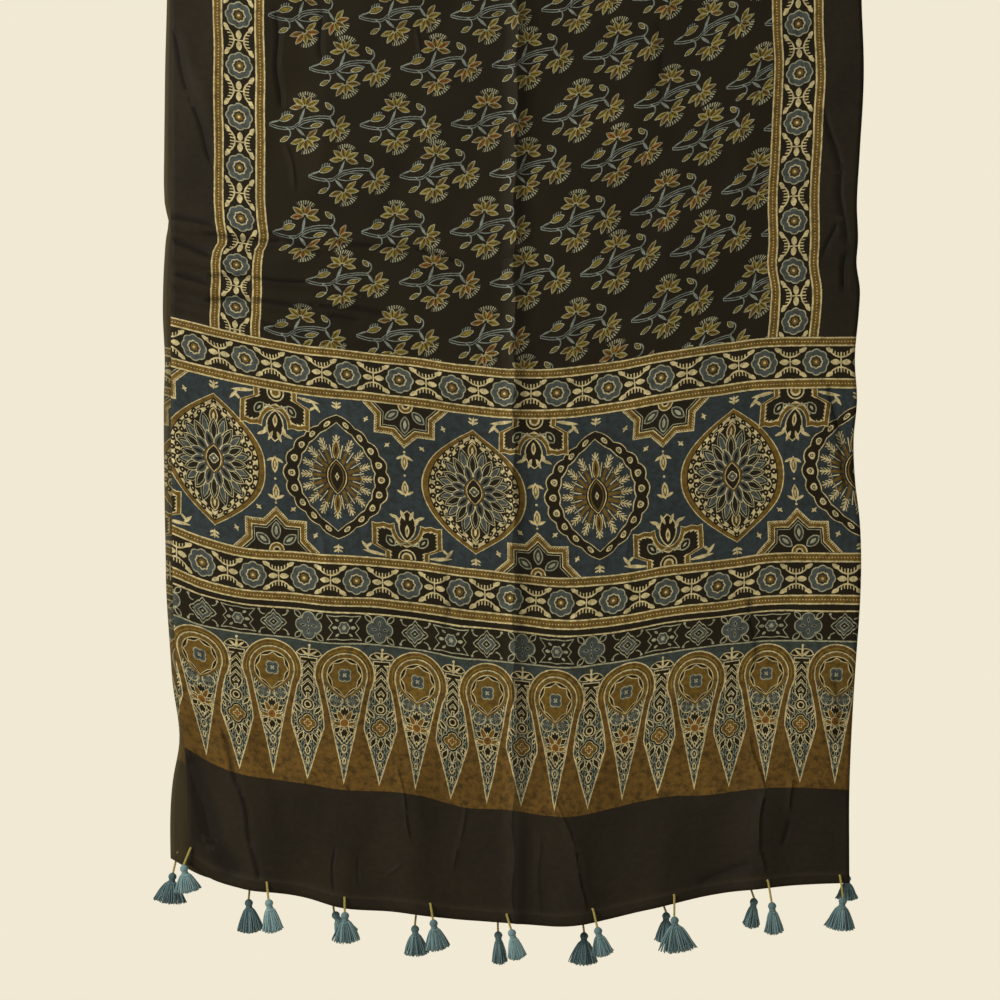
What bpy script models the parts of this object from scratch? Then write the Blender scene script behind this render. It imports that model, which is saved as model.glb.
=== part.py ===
"""Ajrakh stole, hung folded in half over a line, with nine tassels tied along the hem at each end.

Metres, +Z up. The front half hangs on the -Y side of the line and the back half on its +Y side,
and +X is to the right as the front is seen. The origin is the top of the fold at mid-width.

Two lengths place a point on the cloth. "Across" runs from mid-width to the right. "Along" runs
from the fold's top, down the front half where it is positive and down the back half where it is
negative. "Down" is the part of it that lies below the turn over the line.
"""
import math

import bmesh
import bpy
import numpy as np
from mathutils import Matrix, Vector

# The cloth
SHEET = 0.0015         # thickness of the cloth
HEM_SHEET = 0.0022     # thickness of the turned hem at each end
HEM_DEPTH = 0.011      # how far up the hem is turned
HALF_WIDTH = 0.346     # half of the cloth's width
FOLD_RADIUS = 0.0045   # of the cloth's middle surface where it turns over the line
LINE_SAG = 0.034       # the fold lies this much lower at mid-width than at the sides
FRONT_DOWN = 1.0115    # length of the front half below the turn
BACK_DOWN = 1.0075     # length of the back half below the turn
BORDER_DOWN = 0.4565   # how far down the printed end panel starts
QUARTER_TURN = math.pi / 2 * FOLD_RADIUS

# The sides where the cloth turns over the line, and how far down each half finds its own sides
TOP_LEFT = -0.345
TOP_RIGHT = 0.352
OWN_SIDES_DOWN = 0.15

# The side edges of each half: (below the origin, left, right)
FRONT_SIDES = (
    (0.000, -0.342, 0.352),
    (0.090, -0.341, 0.353),
    (0.160, -0.341, 0.355),
    (0.240, -0.340, 0.351),
    (0.295, -0.340, 0.348),
    (0.330, -0.340, 0.349),
    (0.352, -0.340, 0.3475),
    (0.380, -0.340, 0.351),
    (0.400, -0.340, 0.350),
    (0.450, -0.340, 0.346),
    (0.490, -0.340, 0.348),
    (0.530, -0.340, 0.3445),
    (0.570, -0.339, 0.346),
    (0.610, -0.339, 0.3505),
    (0.690, -0.338, 0.351),
    (0.740, -0.336, 0.3475),
    (0.790, -0.332, 0.344),
    (0.850, -0.3255, 0.341),
    (1.000, -0.325, 0.340),
)
BACK_SIDES = (
    (0.000, -0.345, 0.346),
    (0.090, -0.3455, 0.345),
    (0.150, -0.347, 0.344),
    (0.240, -0.348, 0.343),
    (0.280, -0.348, 0.342),
    (0.295, -0.347, 0.340),
    (0.310, -0.3435, 0.337),
    (0.325, -0.346, 0.340),
    (0.350, -0.348, 0.343),
    (0.400, -0.3495, 0.343),
    (0.450, -0.3475, 0.342),
    (0.490, -0.3485, 0.341),
    (0.570, -0.348, 0.341),
    (0.630, -0.347, 0.343),
    (0.690, -0.3455, 0.345),
    (0.740, -0.342, 0.344),
    (0.770, -0.340, 0.342),
    (0.835, -0.333, 0.336),
    (0.870, -0.339, 0.338),
    (1.000, -0.341, 0.343),
)

# How far a weft lies above its lowest point: (across, at the end panel's top, at the hem)
WEFT_LIFT = (
    (-0.346, 0.0345, 0.0420),
    (-0.318, 0.0285, 0.0265),
    (-0.285, 0.0227, 0.0195),
    (-0.250, 0.0179, 0.0184),
    (-0.220, 0.0153, 0.0160),
    (-0.190, 0.0133, 0.0108),
    (-0.119, 0.0092, 0.0105),
    (-0.050, 0.0030, 0.0050),
    (0.000, 0.0000, 0.0022),
    (0.046, 0.0005, 0.0000),
    (0.090, 0.0050, 0.0060),
    (0.130, 0.0115, 0.0150),
    (0.190, 0.0215, 0.0280),
    (0.245, 0.0290, 0.0370),
    (0.300, 0.0325, 0.0415),
    (0.346, 0.0335, 0.0430),
)

# The left side is caught up in level wrinkles: (down, outward)
WRINKLES = (
    (0.342, 0.0045),
    (0.380, 0.0050),
    (0.412, 0.0055),
    (0.440, 0.0060),
    (0.460, 0.0040),
)
WRINKLE_HALF = 0.008
WRINKLES_START = 0.330
WRINKLES_END = 0.470
CATCH_UP = 0.020       # height that the wrinkles take up at the left edge
CAUGHT_TO = -0.050     # they have died out here, across

# Upright folds of the front half: (across at the start, across at the hem, start down, outward)
FRONT_FOLDS = (
    (-0.300, -0.268, 0.800, 0.0070),
    (-0.178, -0.180, 0.900, 0.0050),
    (-0.119, -0.104, 0.830, 0.0060),
    (0.040, 0.066, 0.850, 0.0075),
    (0.160, 0.150, 0.860, 0.0045),
    (0.262, 0.250, 0.840, 0.0075),
)
# Upright folds of the back half, in the same columns
BACK_FOLDS = (
    (-0.240, -0.210, 0.300, 0.0060),
    (-0.020, -0.040, 0.200, 0.0050),
    (0.180, 0.210, 0.350, 0.0065),
)
FOLD_HALF = 0.024
FOLD_RISE = 0.12       # length over which an upright fold grows to its full height
CREASE_HEIGHT = 0.0022  # pressed crease down the middle of the front half
CREASE_HALF = 0.012
CREASE_START = 0.02    # how far down the crease begins, and where it has its full height
CREASE_FULL = 0.12
WAVE_HEIGHT = 0.004    # long soft waves of both halves, full at the hem
WAVES_START = 0.10
FRONT_WAVES = 2.6
BACK_WAVES = 3.2

# How finely the solid follows the cloth
COLUMNS = 22
TURN_STEPS = 6
FRONT_STEPS = ((0.0, 0.325, 8), (0.325, 0.480, 15), (0.480, 0.820, 7), (0.820, 0.998, 6))
BACK_STEPS = ((0.0, 0.995, 16),)

# The tassels and the yarn that ties each through the hem, from left to right. Stitch: where the
# yarn goes through the cloth, across and up from the hem. Top and foot: the tassel's two ends, as
# X and depth below the origin. Spread: the width of its foot.
# (front half, stitch across, stitch up, top X, top below, foot X, foot below, spread)
TASSELS = (
    (False, -0.339, 0.010, -0.340, 0.966, -0.344, 0.997, 0.036),
    (True, -0.342, 0.018, -0.327, 0.955, -0.322, 0.983, 0.029),
    (False, -0.265, 0.010, -0.264, 0.993, -0.262, 1.027, 0.029),
    (True, -0.261, 0.010, -0.241, 0.988, -0.236, 1.021, 0.023),
    (False, -0.184, 0.010, -0.178, 1.006, -0.163, 1.033, 0.026),
    (True, -0.180, 0.011, -0.165, 1.001, -0.163, 1.032, 0.030),
    (False, -0.095, 0.010, -0.096, 1.019, -0.094, 1.050, 0.028),
    (True, -0.091, 0.013, -0.077, 1.009, -0.072, 1.040, 0.027),
    (False, -0.014, 0.010, -0.012, 1.026, -0.010, 1.059, 0.017),
    (True, -0.011, 0.009, 0.001, 1.019, 0.008, 1.049, 0.020),
    (False, 0.071, 0.010, 0.075, 1.026, 0.074, 1.059, 0.032),
    (True, 0.078, 0.014, 0.087, 1.016, 0.093, 1.045, 0.024),
    (False, 0.150, 0.010, 0.158, 1.006, 0.157, 1.037, 0.024),
    (True, 0.163, 0.009, 0.164, 1.006, 0.168, 1.042, 0.042),
    (False, 0.240, 0.010, 0.247, 0.992, 0.243, 1.022, 0.018),
    (True, 0.260, 0.008, 0.261, 0.991, 0.264, 1.023, 0.021),
    (True, 0.336, 0.008, 0.333, 0.987, 0.329, 1.020, 0.033),
    (False, 0.334, 0.012, 0.340, 0.968, 0.340, 0.994, 0.024),
)
STAND_OFF = 0.0058     # a tassel's axis lies this far out from the cloth's middle surface

# A tassel's head, neck and root: (share of the way from top to root, radius)
HEAD_PROFILE = (
    (0.00, 0.0009),
    (0.12, 0.0028),
    (0.36, 0.0039),
    (0.62, 0.0027),
    (0.80, 0.0027),
    (1.00, 0.0044),
)
HEAD_LENGTH = 0.0118
HEAD_SIDES = 8
CORE_RADIUS = 0.0018   # of the inner locks' roots
ROOT_GAP = 0.00025     # half of the space between two locks at their roots
SKIRT_DEPTH = 0.0052   # half of the skirt's thickness, front to back
LOCK_FILL = 0.72       # share of its place in the skirt's foot that a lock fills
LOCK_UNEVEN = 0.0012   # how much longer or shorter than the mean a lock may be
LOCK_TURN = 2.4        # angle that picks the next lock's length

# The tie yarns
YARN_RADIUS = 0.0009
YARN_SIDES = 5
KNOT_RADIUS = 0.0015
YARN_END_RADIUS = 0.0005
YARN_HOLE = 0.0028     # side of the square hole that the yarn goes through
HOLE_DEPTH = 0.006
CLEAR = 0.0004         # space left between pieces that touch
FACE_OFFSET = HEM_SHEET / 2 + CLEAR + YARN_RADIUS
HANG_STEPS = 5

# Plain colours, as (red, green, blue), and roughness
CLOTH_LOOK = ((0.030, 0.024, 0.018), 0.62)
TASSEL_LOOK = ((0.105, 0.205, 0.255), 0.85)
YARN_LOOK = ((0.330, 0.270, 0.060), 0.80)


def smooth_step(start, end, value):
    """Rises smoothly from 0 at start to 1 at end."""
    share = np.clip((value - start) / (end - start), 0.0, 1.0)
    return share * share * (3.0 - 2.0 * share)


def curve_through(rows, column, place):
    """Cubic curve through one column of a table, whose first column is the place, level past its ends."""
    table = np.array(rows)
    knots = table[:, 0]
    values = table[:, column]
    slopes = np.gradient(values, knots)
    left = np.clip(np.searchsorted(knots, place) - 1, 0, len(knots) - 2)
    span = knots[left + 1] - knots[left]
    t = np.clip((place - knots[left]) / span, 0.0, 1.0)
    near = (1 + 2 * t) * (1 - t) ** 2 * values[left] + t * (1 - t) ** 2 * span * slopes[left]
    far = t * t * (3 - 2 * t) * values[left + 1] + t * t * (t - 1) * span * slopes[left + 1]
    return near + far


def weft_lift(across, down):
    """Height of a weft above its lowest point: the line's sag at the fold, then the tabled shapes."""
    line = LINE_SAG * (across / HALF_WIDTH) ** 2
    panel = curve_through(WEFT_LIFT, 1, across)
    hem = curve_through(WEFT_LIFT, 2, across)
    lower = panel + (hem - panel) * smooth_step(BORDER_DOWN, FRONT_DOWN, down)
    lift = line + (lower - line) * smooth_step(0.0, BORDER_DOWN, down)
    caught = CATCH_UP * (1.0 - smooth_step(-HALF_WIDTH, CAUGHT_TO, across))
    return lift + caught * smooth_step(WRINKLES_START, WRINKLES_END, down)


def upright_folds(folds, across, down):
    """Rounded upright ridges, each growing from its start to the hem."""
    height = 0.0
    for at_start, at_hem, start, outward in folds:
        share = np.clip((down - start) / (FRONT_DOWN - start), 0.0, 1.0)
        middle = at_start + (at_hem - at_start) * share
        ridge = np.exp(-((across - middle) / FOLD_HALF) ** 2)
        height = height + outward * ridge * smooth_step(start, start + FOLD_RISE, down)
    return height


def soft_waves(count, across, down):
    """Long upright waves that are flat at the fold and full at the hem."""
    turns = count * (across / (2 * HALF_WIDTH) + 0.5)
    wave = 0.5 - 0.5 * np.cos(2 * math.pi * turns)
    return WAVE_HEIGHT * wave * smooth_step(WAVES_START, FRONT_DOWN, down)


def front_relief(across, down):
    """How far the front half stands out from its plane: waves, folds, the crease and the wrinkles."""
    crease = CREASE_HEIGHT * np.exp(-np.abs(across) / CREASE_HALF)
    crease = crease * smooth_step(CREASE_START, CREASE_FULL, down)
    reach = 1.0 - smooth_step(-HALF_WIDTH, CAUGHT_TO, across)
    wrinkled = 0.0
    for middle, outward in WRINKLES:
        wrinkled = wrinkled + outward * np.exp(-((down - middle) / WRINKLE_HALF) ** 2)
    folded = upright_folds(FRONT_FOLDS, across, down)
    return soft_waves(FRONT_WAVES, across, down) + folded + crease + wrinkled * reach


def back_relief(across, down):
    """How far the back half stands out from its plane: waves and folds."""
    return soft_waves(BACK_WAVES, across, down) + upright_folds(BACK_FOLDS, across, down)


def cloth_surface(across, along):
    """Middle surface of the cloth: a half turn over the line between two hanging halves."""
    across, along = np.broadcast_arrays(np.asarray(across, float), np.asarray(along, float))
    turn = np.clip(along / FOLD_RADIUS, -math.pi / 2, math.pi / 2)
    down = np.maximum(np.abs(along) - QUARTER_TURN, 0.0)
    front = along > 0
    z = FOLD_RADIUS * (np.cos(turn) - 1.0) - down + weft_lift(across, down) - SHEET / 2
    outward = np.where(front, front_relief(across, down), back_relief(across, down))
    y = -FOLD_RADIUS * np.sin(turn) - np.sign(along) * outward
    own = smooth_step(0.0, OWN_SIDES_DOWN, down)
    sides = []
    for column, at_top in ((1, TOP_LEFT), (2, TOP_RIGHT)):
        on_front = curve_through(FRONT_SIDES, column, -z)
        on_back = curve_through(BACK_SIDES, column, -z)
        sides.append(at_top + (np.where(front, on_front, on_back) - at_top) * own)
    left, right = sides
    x = (left + right) / 2 + across / HALF_WIDTH * (right - left) / 2
    return np.stack((x, y, z), axis=-1)


def cloth_rows():
    """Lengths along the cloth, from the back hem over the fold to the front hem."""
    front = [QUARTER_TURN + down for down in steps_down(FRONT_STEPS, FRONT_DOWN)]
    back = [-QUARTER_TURN - down for down in steps_down(BACK_STEPS, BACK_DOWN)]
    turn = np.linspace(-QUARTER_TURN, QUARTER_TURN, TURN_STEPS + 1)[1:-1]
    return np.array(back[::-1] + list(turn) + front)


def steps_down(steps, length):
    """Even steps from each (start, end, count), then a step up in thickness at the turned hem."""
    rows = []
    for start, end, count in steps:
        rows.extend(np.linspace(start, end, count, endpoint=False))
    hem_line = length - HEM_DEPTH
    return rows + [hem_line - (HEM_SHEET - SHEET), hem_line, length]


def new_object(name, mesh, look):
    """Links a mesh under its own material."""
    colour, roughness = look
    material = bpy.data.materials.new(name)
    material.use_nodes = True
    shader = material.node_tree.nodes["Principled BSDF"]
    shader.inputs["Base Color"].default_value = (*colour, 1.0)
    shader.inputs["Roughness"].default_value = roughness
    shader.inputs["Metallic"].default_value = 0.0
    mesh.materials.append(material)
    made = bpy.data.objects.new(name, mesh)
    bpy.context.collection.objects.link(made)
    return made


def make_cloth(along, across, middle):
    """One closed sheet: the middle surface moved out and in by half of its thickness, and a rim."""
    outward = np.cross(np.gradient(middle, axis=0), np.gradient(middle, axis=1))
    outward = outward / np.linalg.norm(outward, axis=-1, keepdims=True)
    down = np.abs(along) - QUARTER_TURN
    hem_line = np.where(along > 0, FRONT_DOWN, BACK_DOWN) - HEM_DEPTH
    thickness = np.where(down > hem_line - CLEAR, HEM_SHEET, SHEET)
    half = thickness[:, None, None] / 2 * outward
    rows, columns = middle.shape[:2]
    points = np.concatenate(((middle + half).reshape(-1, 3), (middle - half).reshape(-1, 3)))
    number = np.arange(rows * columns).reshape(rows, columns)
    inner = rows * columns
    corners = (number[:-1, :-1], number[1:, :-1], number[1:, 1:], number[:-1, 1:])
    outer_faces = np.stack(corners, axis=-1).reshape(-1, 4)
    rim = np.concatenate((number[0, :-1], number[:-1, -1], number[-1, :0:-1], number[:0:-1, 0]))
    after = np.roll(rim, -1)
    rim_faces = np.stack((rim, after, after + inner, rim + inner), axis=-1)
    faces = np.concatenate((outer_faces, outer_faces[:, ::-1] + inner, rim_faces))
    mesh = bpy.data.meshes.new("cloth")
    mesh.from_pydata(points.tolist(), [], faces.tolist())
    mesh.shade_smooth()
    return new_object("cloth", mesh, CLOTH_LOOK)


def hem_stitch(grid, front, stitch_across, up):
    """Where a yarn goes through the hem: the point of the middle surface, and its outward normal."""
    along, across, middle = grid
    length = QUARTER_TURN + (FRONT_DOWN if front else BACK_DOWN)
    stitch_along = (length - up) if front else (up - length)
    row = np.searchsorted(along, stitch_along) - 1
    column = np.searchsorted(across, stitch_across) - 1
    ahead = (stitch_along - along[row]) / (along[row + 1] - along[row])
    aside = (stitch_across - across[column]) / (across[column + 1] - across[column])
    cell = middle[row:row + 2, column:column + 2]
    left = cell[0, 0] * (1 - ahead) + cell[1, 0] * ahead
    right = cell[0, 1] * (1 - ahead) + cell[1, 1] * ahead
    start = cell[0, 0] * (1 - aside) + cell[0, 1] * aside
    end = cell[1, 0] * (1 - aside) + cell[1, 1] * aside
    outward = Vector(np.cross(end - start, right - left)).normalized()
    return Vector(left * (1 - aside) + right * aside), outward


def make_hole_cutter(stitches):
    """Square holes through the hem, one for each yarn."""
    mesh_data = bmesh.new()
    for point, outward in stitches:
        place = Matrix.Translation(point) @ outward.to_track_quat("Z", "X").to_matrix().to_4x4()
        size = Matrix.Diagonal((YARN_HOLE, YARN_HOLE, HOLE_DEPTH, 1.0))
        bmesh.ops.create_cube(mesh_data, size=1.0, matrix=place @ size)
    mesh = bpy.data.meshes.new("yarn_holes")
    mesh_data.to_mesh(mesh)
    mesh_data.free()
    cutter = bpy.data.objects.new("yarn_holes", mesh)
    bpy.context.collection.objects.link(cutter)
    cutter.hide_render = True
    cutter.display_type = "WIRE"
    return cutter


def cut_holes(cloth, cutter):
    """Cuts the yarns' holes through the cloth."""
    holes = cloth.modifiers.new("yarn holes", "BOOLEAN")
    holes.operation = "DIFFERENCE"
    holes.solver = "EXACT"
    holes.object = cutter


def make_tassel(name, top, foot, spread):
    """A turned head and neck, whose underside carries outer and inner locks fused at their roots."""
    axis = (foot - top).normalized()
    depth = Vector((0.0, 1.0, 0.0))
    wide = depth.cross(axis).normalized()
    body = bmesh.new()

    def ring(distance, radius):
        points = []
        for side in range(HEAD_SIDES):
            angle = 2 * math.pi * side / HEAD_SIDES
            offset = wide * math.cos(angle) + depth * math.sin(angle)
            points.append(body.verts.new(top + axis * distance + offset * radius))
        return points

    rings = [ring(share * HEAD_LENGTH, radius) for share, radius in HEAD_PROFILE]
    body.faces.new(rings[0][::-1])
    for upper, lower in zip(rings, rings[1:]):
        bridge(body, upper, lower)
    core = ring(HEAD_LENGTH, CORE_RADIUS)
    roots = bridge(body, rings[-1], core)
    for corners in ((0, 1, 2, 3), (0, 3, 4, 7), (4, 5, 6, 7)):
        roots.append(body.faces.new([core[corner] for corner in corners]))
    bmesh.ops.inset_individual(body, faces=roots, thickness=ROOT_GAP)
    root = top + axis * HEAD_LENGTH
    scale_wide = spread / 2 / HEAD_PROFILE[-1][1]
    scale_deep = SKIRT_DEPTH / HEAD_PROFILE[-1][1]
    for number, face in enumerate(roots):
        end = bmesh.ops.extrude_discrete_faces(body, faces=[face])["faces"][0]
        length = (foot - root).length + LOCK_UNEVEN * math.cos(LOCK_TURN * number + top.x / spread)
        centre = end.calc_center_median() - root
        for corner in end.verts:
            offset = centre + (corner.co - root - centre) * LOCK_FILL
            across = wide * offset.dot(wide) * scale_wide + depth * offset.dot(depth) * scale_deep
            corner.co = root + across + axis * length
    return new_object(name, closed_mesh(name, body), TASSEL_LOOK)


def closed_mesh(name, body):
    """The body's faces as triangles that all point outwards, in a mesh of their own."""
    bmesh.ops.triangulate(body, faces=body.faces)
    bmesh.ops.recalc_face_normals(body, faces=body.faces)
    mesh = bpy.data.meshes.new(name)
    body.to_mesh(mesh)
    body.free()
    return mesh


def bridge(body, upper, lower):
    """Quads between two rings of the same count."""
    faces = []
    for side in range(len(upper)):
        after = (side + 1) % len(upper)
        faces.append(body.faces.new((upper[side], upper[after], lower[after], lower[side])))
    return faces


def make_tie(name, stitch, outward, top, axis):
    """A yarn knotted inside, through its hole, down the outer face and onto the tassel's head."""
    inside = HEM_SHEET / 2 + CLEAR
    path = [
        (stitch - outward * (inside + 2 * KNOT_RADIUS), YARN_END_RADIUS),
        (stitch - outward * (inside + KNOT_RADIUS), KNOT_RADIUS),
        (stitch - outward * inside, YARN_RADIUS),
        (stitch + outward * FACE_OFFSET, YARN_RADIUS),
    ]
    start = path[-1][0]
    end = top - axis * CLEAR
    for step in range(1, HANG_STEPS + 1):
        share = step / HANG_STEPS
        bow = math.sin(math.pi * share) * YARN_RADIUS * outward.y
        point = start.lerp(end, share) + Vector((0.0, bow, 0.0))
        path.append((point, YARN_RADIUS))
    body = bmesh.new()
    rings = []
    for number, (point, radius) in enumerate(path):
        before = path[max(number - 1, 0)][0]
        after = path[min(number + 1, len(path) - 1)][0]
        ahead = (after - before).normalized() if number < len(path) - 1 else axis
        side = ahead.cross(Vector((1.0, 0.0, 0.0))).normalized()
        other = ahead.cross(side)
        ring = []
        for corner in range(YARN_SIDES):
            angle = 2 * math.pi * corner / YARN_SIDES
            offset = side * math.cos(angle) + other * math.sin(angle)
            ring.append(body.verts.new(point + offset * radius))
        rings.append(ring)
    for upper, lower in zip(rings, rings[1:]):
        bridge(body, upper, lower)
    body.faces.new(rings[0])
    body.faces.new(rings[-1])
    mesh = closed_mesh(name, body)
    mesh.shade_smooth()
    return new_object(name, mesh, YARN_LOOK)


def make_stole():
    """The cloth with its holes, then a tie yarn and a tassel for each row of the table."""
    for old in list(bpy.data.objects):
        bpy.data.objects.remove(old, do_unlink=True)
    along = cloth_rows()
    across = np.linspace(-HALF_WIDTH, HALF_WIDTH, COLUMNS + 1)
    grid = (along, across, cloth_surface(across[None, :], along[:, None]))
    cloth = make_cloth(*grid)
    stitches = [hem_stitch(grid, *row[:3]) for row in TASSELS]
    cut_holes(cloth, make_hole_cutter(stitches))
    for number, (row, (stitch, outward)) in enumerate(zip(TASSELS, stitches), start=1):
        front, _, _, top_x, top_below, foot_x, foot_below, spread = row
        out = -STAND_OFF if front else STAND_OFF
        depth = stitch.y + out
        top = Vector((top_x, depth, -top_below))
        foot = Vector((foot_x, depth, -foot_below))
        axis = (foot - top).normalized()
        make_tie(f"tie_{number:02d}", stitch, outward, top, axis)
        make_tassel(f"tassel_{number:02d}", top, foot, spread)


make_stole()
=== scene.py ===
"""Ajrakh stole hung in half over a line: its printed cloth, its tassels and their ties.

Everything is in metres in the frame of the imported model. The print is drawn in millimetres.
"""
import math

import bpy
import numpy as np
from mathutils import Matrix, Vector


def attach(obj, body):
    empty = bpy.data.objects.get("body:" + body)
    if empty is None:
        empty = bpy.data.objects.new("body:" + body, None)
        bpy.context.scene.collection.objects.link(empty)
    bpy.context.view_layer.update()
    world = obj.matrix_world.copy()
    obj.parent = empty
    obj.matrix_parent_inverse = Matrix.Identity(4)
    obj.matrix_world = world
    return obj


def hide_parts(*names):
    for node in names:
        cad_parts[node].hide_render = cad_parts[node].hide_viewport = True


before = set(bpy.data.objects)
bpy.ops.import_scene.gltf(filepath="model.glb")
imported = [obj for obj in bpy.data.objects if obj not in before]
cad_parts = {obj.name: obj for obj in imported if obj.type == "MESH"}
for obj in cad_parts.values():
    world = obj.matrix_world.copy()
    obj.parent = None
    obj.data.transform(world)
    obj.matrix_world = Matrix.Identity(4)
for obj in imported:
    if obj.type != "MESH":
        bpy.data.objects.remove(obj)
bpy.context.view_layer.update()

bl_info = {
    "name": "Ajrakh stole",
    "version": (1, 0, 0),
    "blender": (4, 5, 0),
    "location": "View3D > Sidebar > Stole",
    "description": "Hung block-printed stole with tasselled hems",
    "category": "Object",
}

# The cloth's middle surface, as in the solid
SHEET = 0.0015
HALF_WIDTH = 0.346
FOLD_RADIUS = 0.0045
LINE_SAG = 0.034
FRONT_DOWN = 1.0115
BACK_DOWN = 1.0075
BORDER_DOWN = 0.4565
QUARTER_TURN = math.pi / 2 * FOLD_RADIUS
TOP_LEFT = -0.345
TOP_RIGHT = 0.352
OWN_SIDES_DOWN = 0.15
HEM_DEPTH = 0.011

# The side edges of each half: (below the origin, left, right)
FRONT_SIDES = (
    (0.000, -0.342, 0.352), (0.090, -0.341, 0.353), (0.160, -0.341, 0.355),
    (0.240, -0.340, 0.351), (0.295, -0.340, 0.348), (0.330, -0.340, 0.349),
    (0.352, -0.340, 0.3475), (0.380, -0.340, 0.351), (0.400, -0.340, 0.350),
    (0.450, -0.340, 0.346), (0.490, -0.340, 0.348), (0.530, -0.340, 0.3445),
    (0.570, -0.339, 0.346), (0.610, -0.339, 0.3505), (0.690, -0.338, 0.351),
    (0.740, -0.336, 0.3475), (0.790, -0.332, 0.344), (0.850, -0.3255, 0.341),
    (1.000, -0.325, 0.340),
)
BACK_SIDES = (
    (0.000, -0.345, 0.346), (0.090, -0.3455, 0.345), (0.150, -0.347, 0.344),
    (0.240, -0.348, 0.343), (0.280, -0.348, 0.342), (0.295, -0.347, 0.340),
    (0.310, -0.3435, 0.337), (0.325, -0.346, 0.340), (0.350, -0.348, 0.343),
    (0.400, -0.3495, 0.343), (0.450, -0.3475, 0.342), (0.490, -0.3485, 0.341),
    (0.570, -0.348, 0.341), (0.630, -0.347, 0.343), (0.690, -0.3455, 0.345),
    (0.740, -0.342, 0.344), (0.770, -0.340, 0.342), (0.835, -0.333, 0.336),
    (0.870, -0.339, 0.338), (1.000, -0.341, 0.343),
)
# How far a weft lies above its lowest point: (across, at the end panel's top, at the hem)
WEFT_LIFT = (
    (-0.346, 0.0345, 0.0420), (-0.318, 0.0285, 0.0265), (-0.285, 0.0227, 0.0195),
    (-0.250, 0.0179, 0.0184), (-0.220, 0.0153, 0.0160), (-0.190, 0.0133, 0.0108),
    (-0.119, 0.0092, 0.0105), (-0.050, 0.0030, 0.0050), (0.000, 0.0000, 0.0022),
    (0.046, 0.0005, 0.0000), (0.090, 0.0050, 0.0060), (0.130, 0.0115, 0.0150),
    (0.190, 0.0215, 0.0280), (0.245, 0.0290, 0.0370), (0.300, 0.0325, 0.0415),
    (0.346, 0.0335, 0.0430),
)
# Level wrinkles of the left side: (down, outward)
WRINKLES = ((0.342, 0.0045), (0.380, 0.0050), (0.412, 0.0055), (0.440, 0.0060), (0.460, 0.0040))
WRINKLE_HALF = 0.008
# How far the print shifts sideways there: (below the origin, sideways), then where it fades
KINK = (
    (0.290, 0.0), (0.310, 0.0015), (0.325, 0.0042), (0.333, 0.0036), (0.339, -0.0008),
    (0.352, -0.0024), (0.385, -0.0035), (0.425, -0.0042), (0.455, 0.0),
)
KINK_EDGE = -0.300
KINK_FROM = -0.225
WRINKLES_START = 0.330
WRINKLES_END = 0.470
CATCH_UP = 0.020
CAUGHT_TO = -0.050
# Upright folds of each half: (across at the start, across at the hem, start down, outward)
FRONT_FOLDS = (
    (-0.300, -0.268, 0.800, 0.0070), (-0.178, -0.180, 0.900, 0.0050),
    (-0.119, -0.104, 0.830, 0.0060), (0.040, 0.066, 0.850, 0.0075),
    (0.160, 0.150, 0.860, 0.0045), (0.262, 0.250, 0.840, 0.0075),
)
BACK_FOLDS = (
    (-0.240, -0.210, 0.300, 0.0060), (-0.020, -0.040, 0.200, 0.0050),
    (0.180, 0.210, 0.350, 0.0065),
)
FOLD_HALF = 0.024
FOLD_RISE = 0.12
CREASE_HEIGHT = 0.0022
CREASE_HALF = 0.012
CREASE_START = 0.02
CREASE_FULL = 0.12
WAVE_HEIGHT = 0.004
WAVES_START = 0.10
FRONT_WAVES = 2.6
BACK_WAVES = 3.2

# Fine creases of the front half, on the cloth:
# (from across, from down, to across, to down, outward, half of its width)
CREASES = (
    (-0.292, 0.822, -0.264, 0.905, 0.0022, 0.006),
    (-0.264, 0.905, -0.252, 0.962, 0.0020, 0.006),
    (-0.113, 0.868, -0.100, 0.926, 0.0016, 0.004),
    (-0.174, 0.945, -0.174, 0.980, 0.0012, 0.004),
    (0.044, 0.886, 0.066, 0.942, 0.0022, 0.005),
    (0.066, 0.942, 0.073, 0.992, 0.0022, 0.005),
    (0.258, 0.908, 0.246, 0.980, 0.0018, 0.006),
    (0.284, 0.900, 0.283, 0.925, 0.0012, 0.004),
    (0.240, 0.700, 0.242, 0.760, 0.0016, 0.007),
    (0.330, 0.790, 0.327, 0.840, 0.0016, 0.007),
    (-0.335, 0.140, -0.298, 0.250, 0.0020, 0.010),
    (-0.345, 0.330, -0.210, 0.336, 0.0022, 0.005),
    (-0.345, 0.372, -0.190, 0.362, 0.0024, 0.004),
    (-0.340, 0.396, -0.150, 0.386, 0.0024, 0.004),
    (-0.335, 0.424, -0.120, 0.418, 0.0026, 0.004),
    (-0.230, 0.432, -0.070, 0.440, 0.0018, 0.005),
    (-0.345, 0.448, -0.160, 0.446, 0.0018, 0.005),
    (-0.150, 0.340, -0.040, 0.352, 0.0012, 0.006),
    (0.300, 0.405, 0.346, 0.398, 0.0014, 0.006),
    (0.255, 0.428, 0.346, 0.420, 0.0014, 0.006),
    (-0.090, 0.150, -0.085, 0.330, 0.0010, 0.008),
    (0.150, 0.160, 0.156, 0.420, 0.0009, 0.009),
    (0.230, 0.120, 0.222, 0.330, 0.0009, 0.009),
    (-0.190, 0.100, -0.196, 0.290, 0.0010, 0.008),
)
PRESSED_HEIGHT = 0.0016
PRESSED_HALF = 0.004

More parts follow.
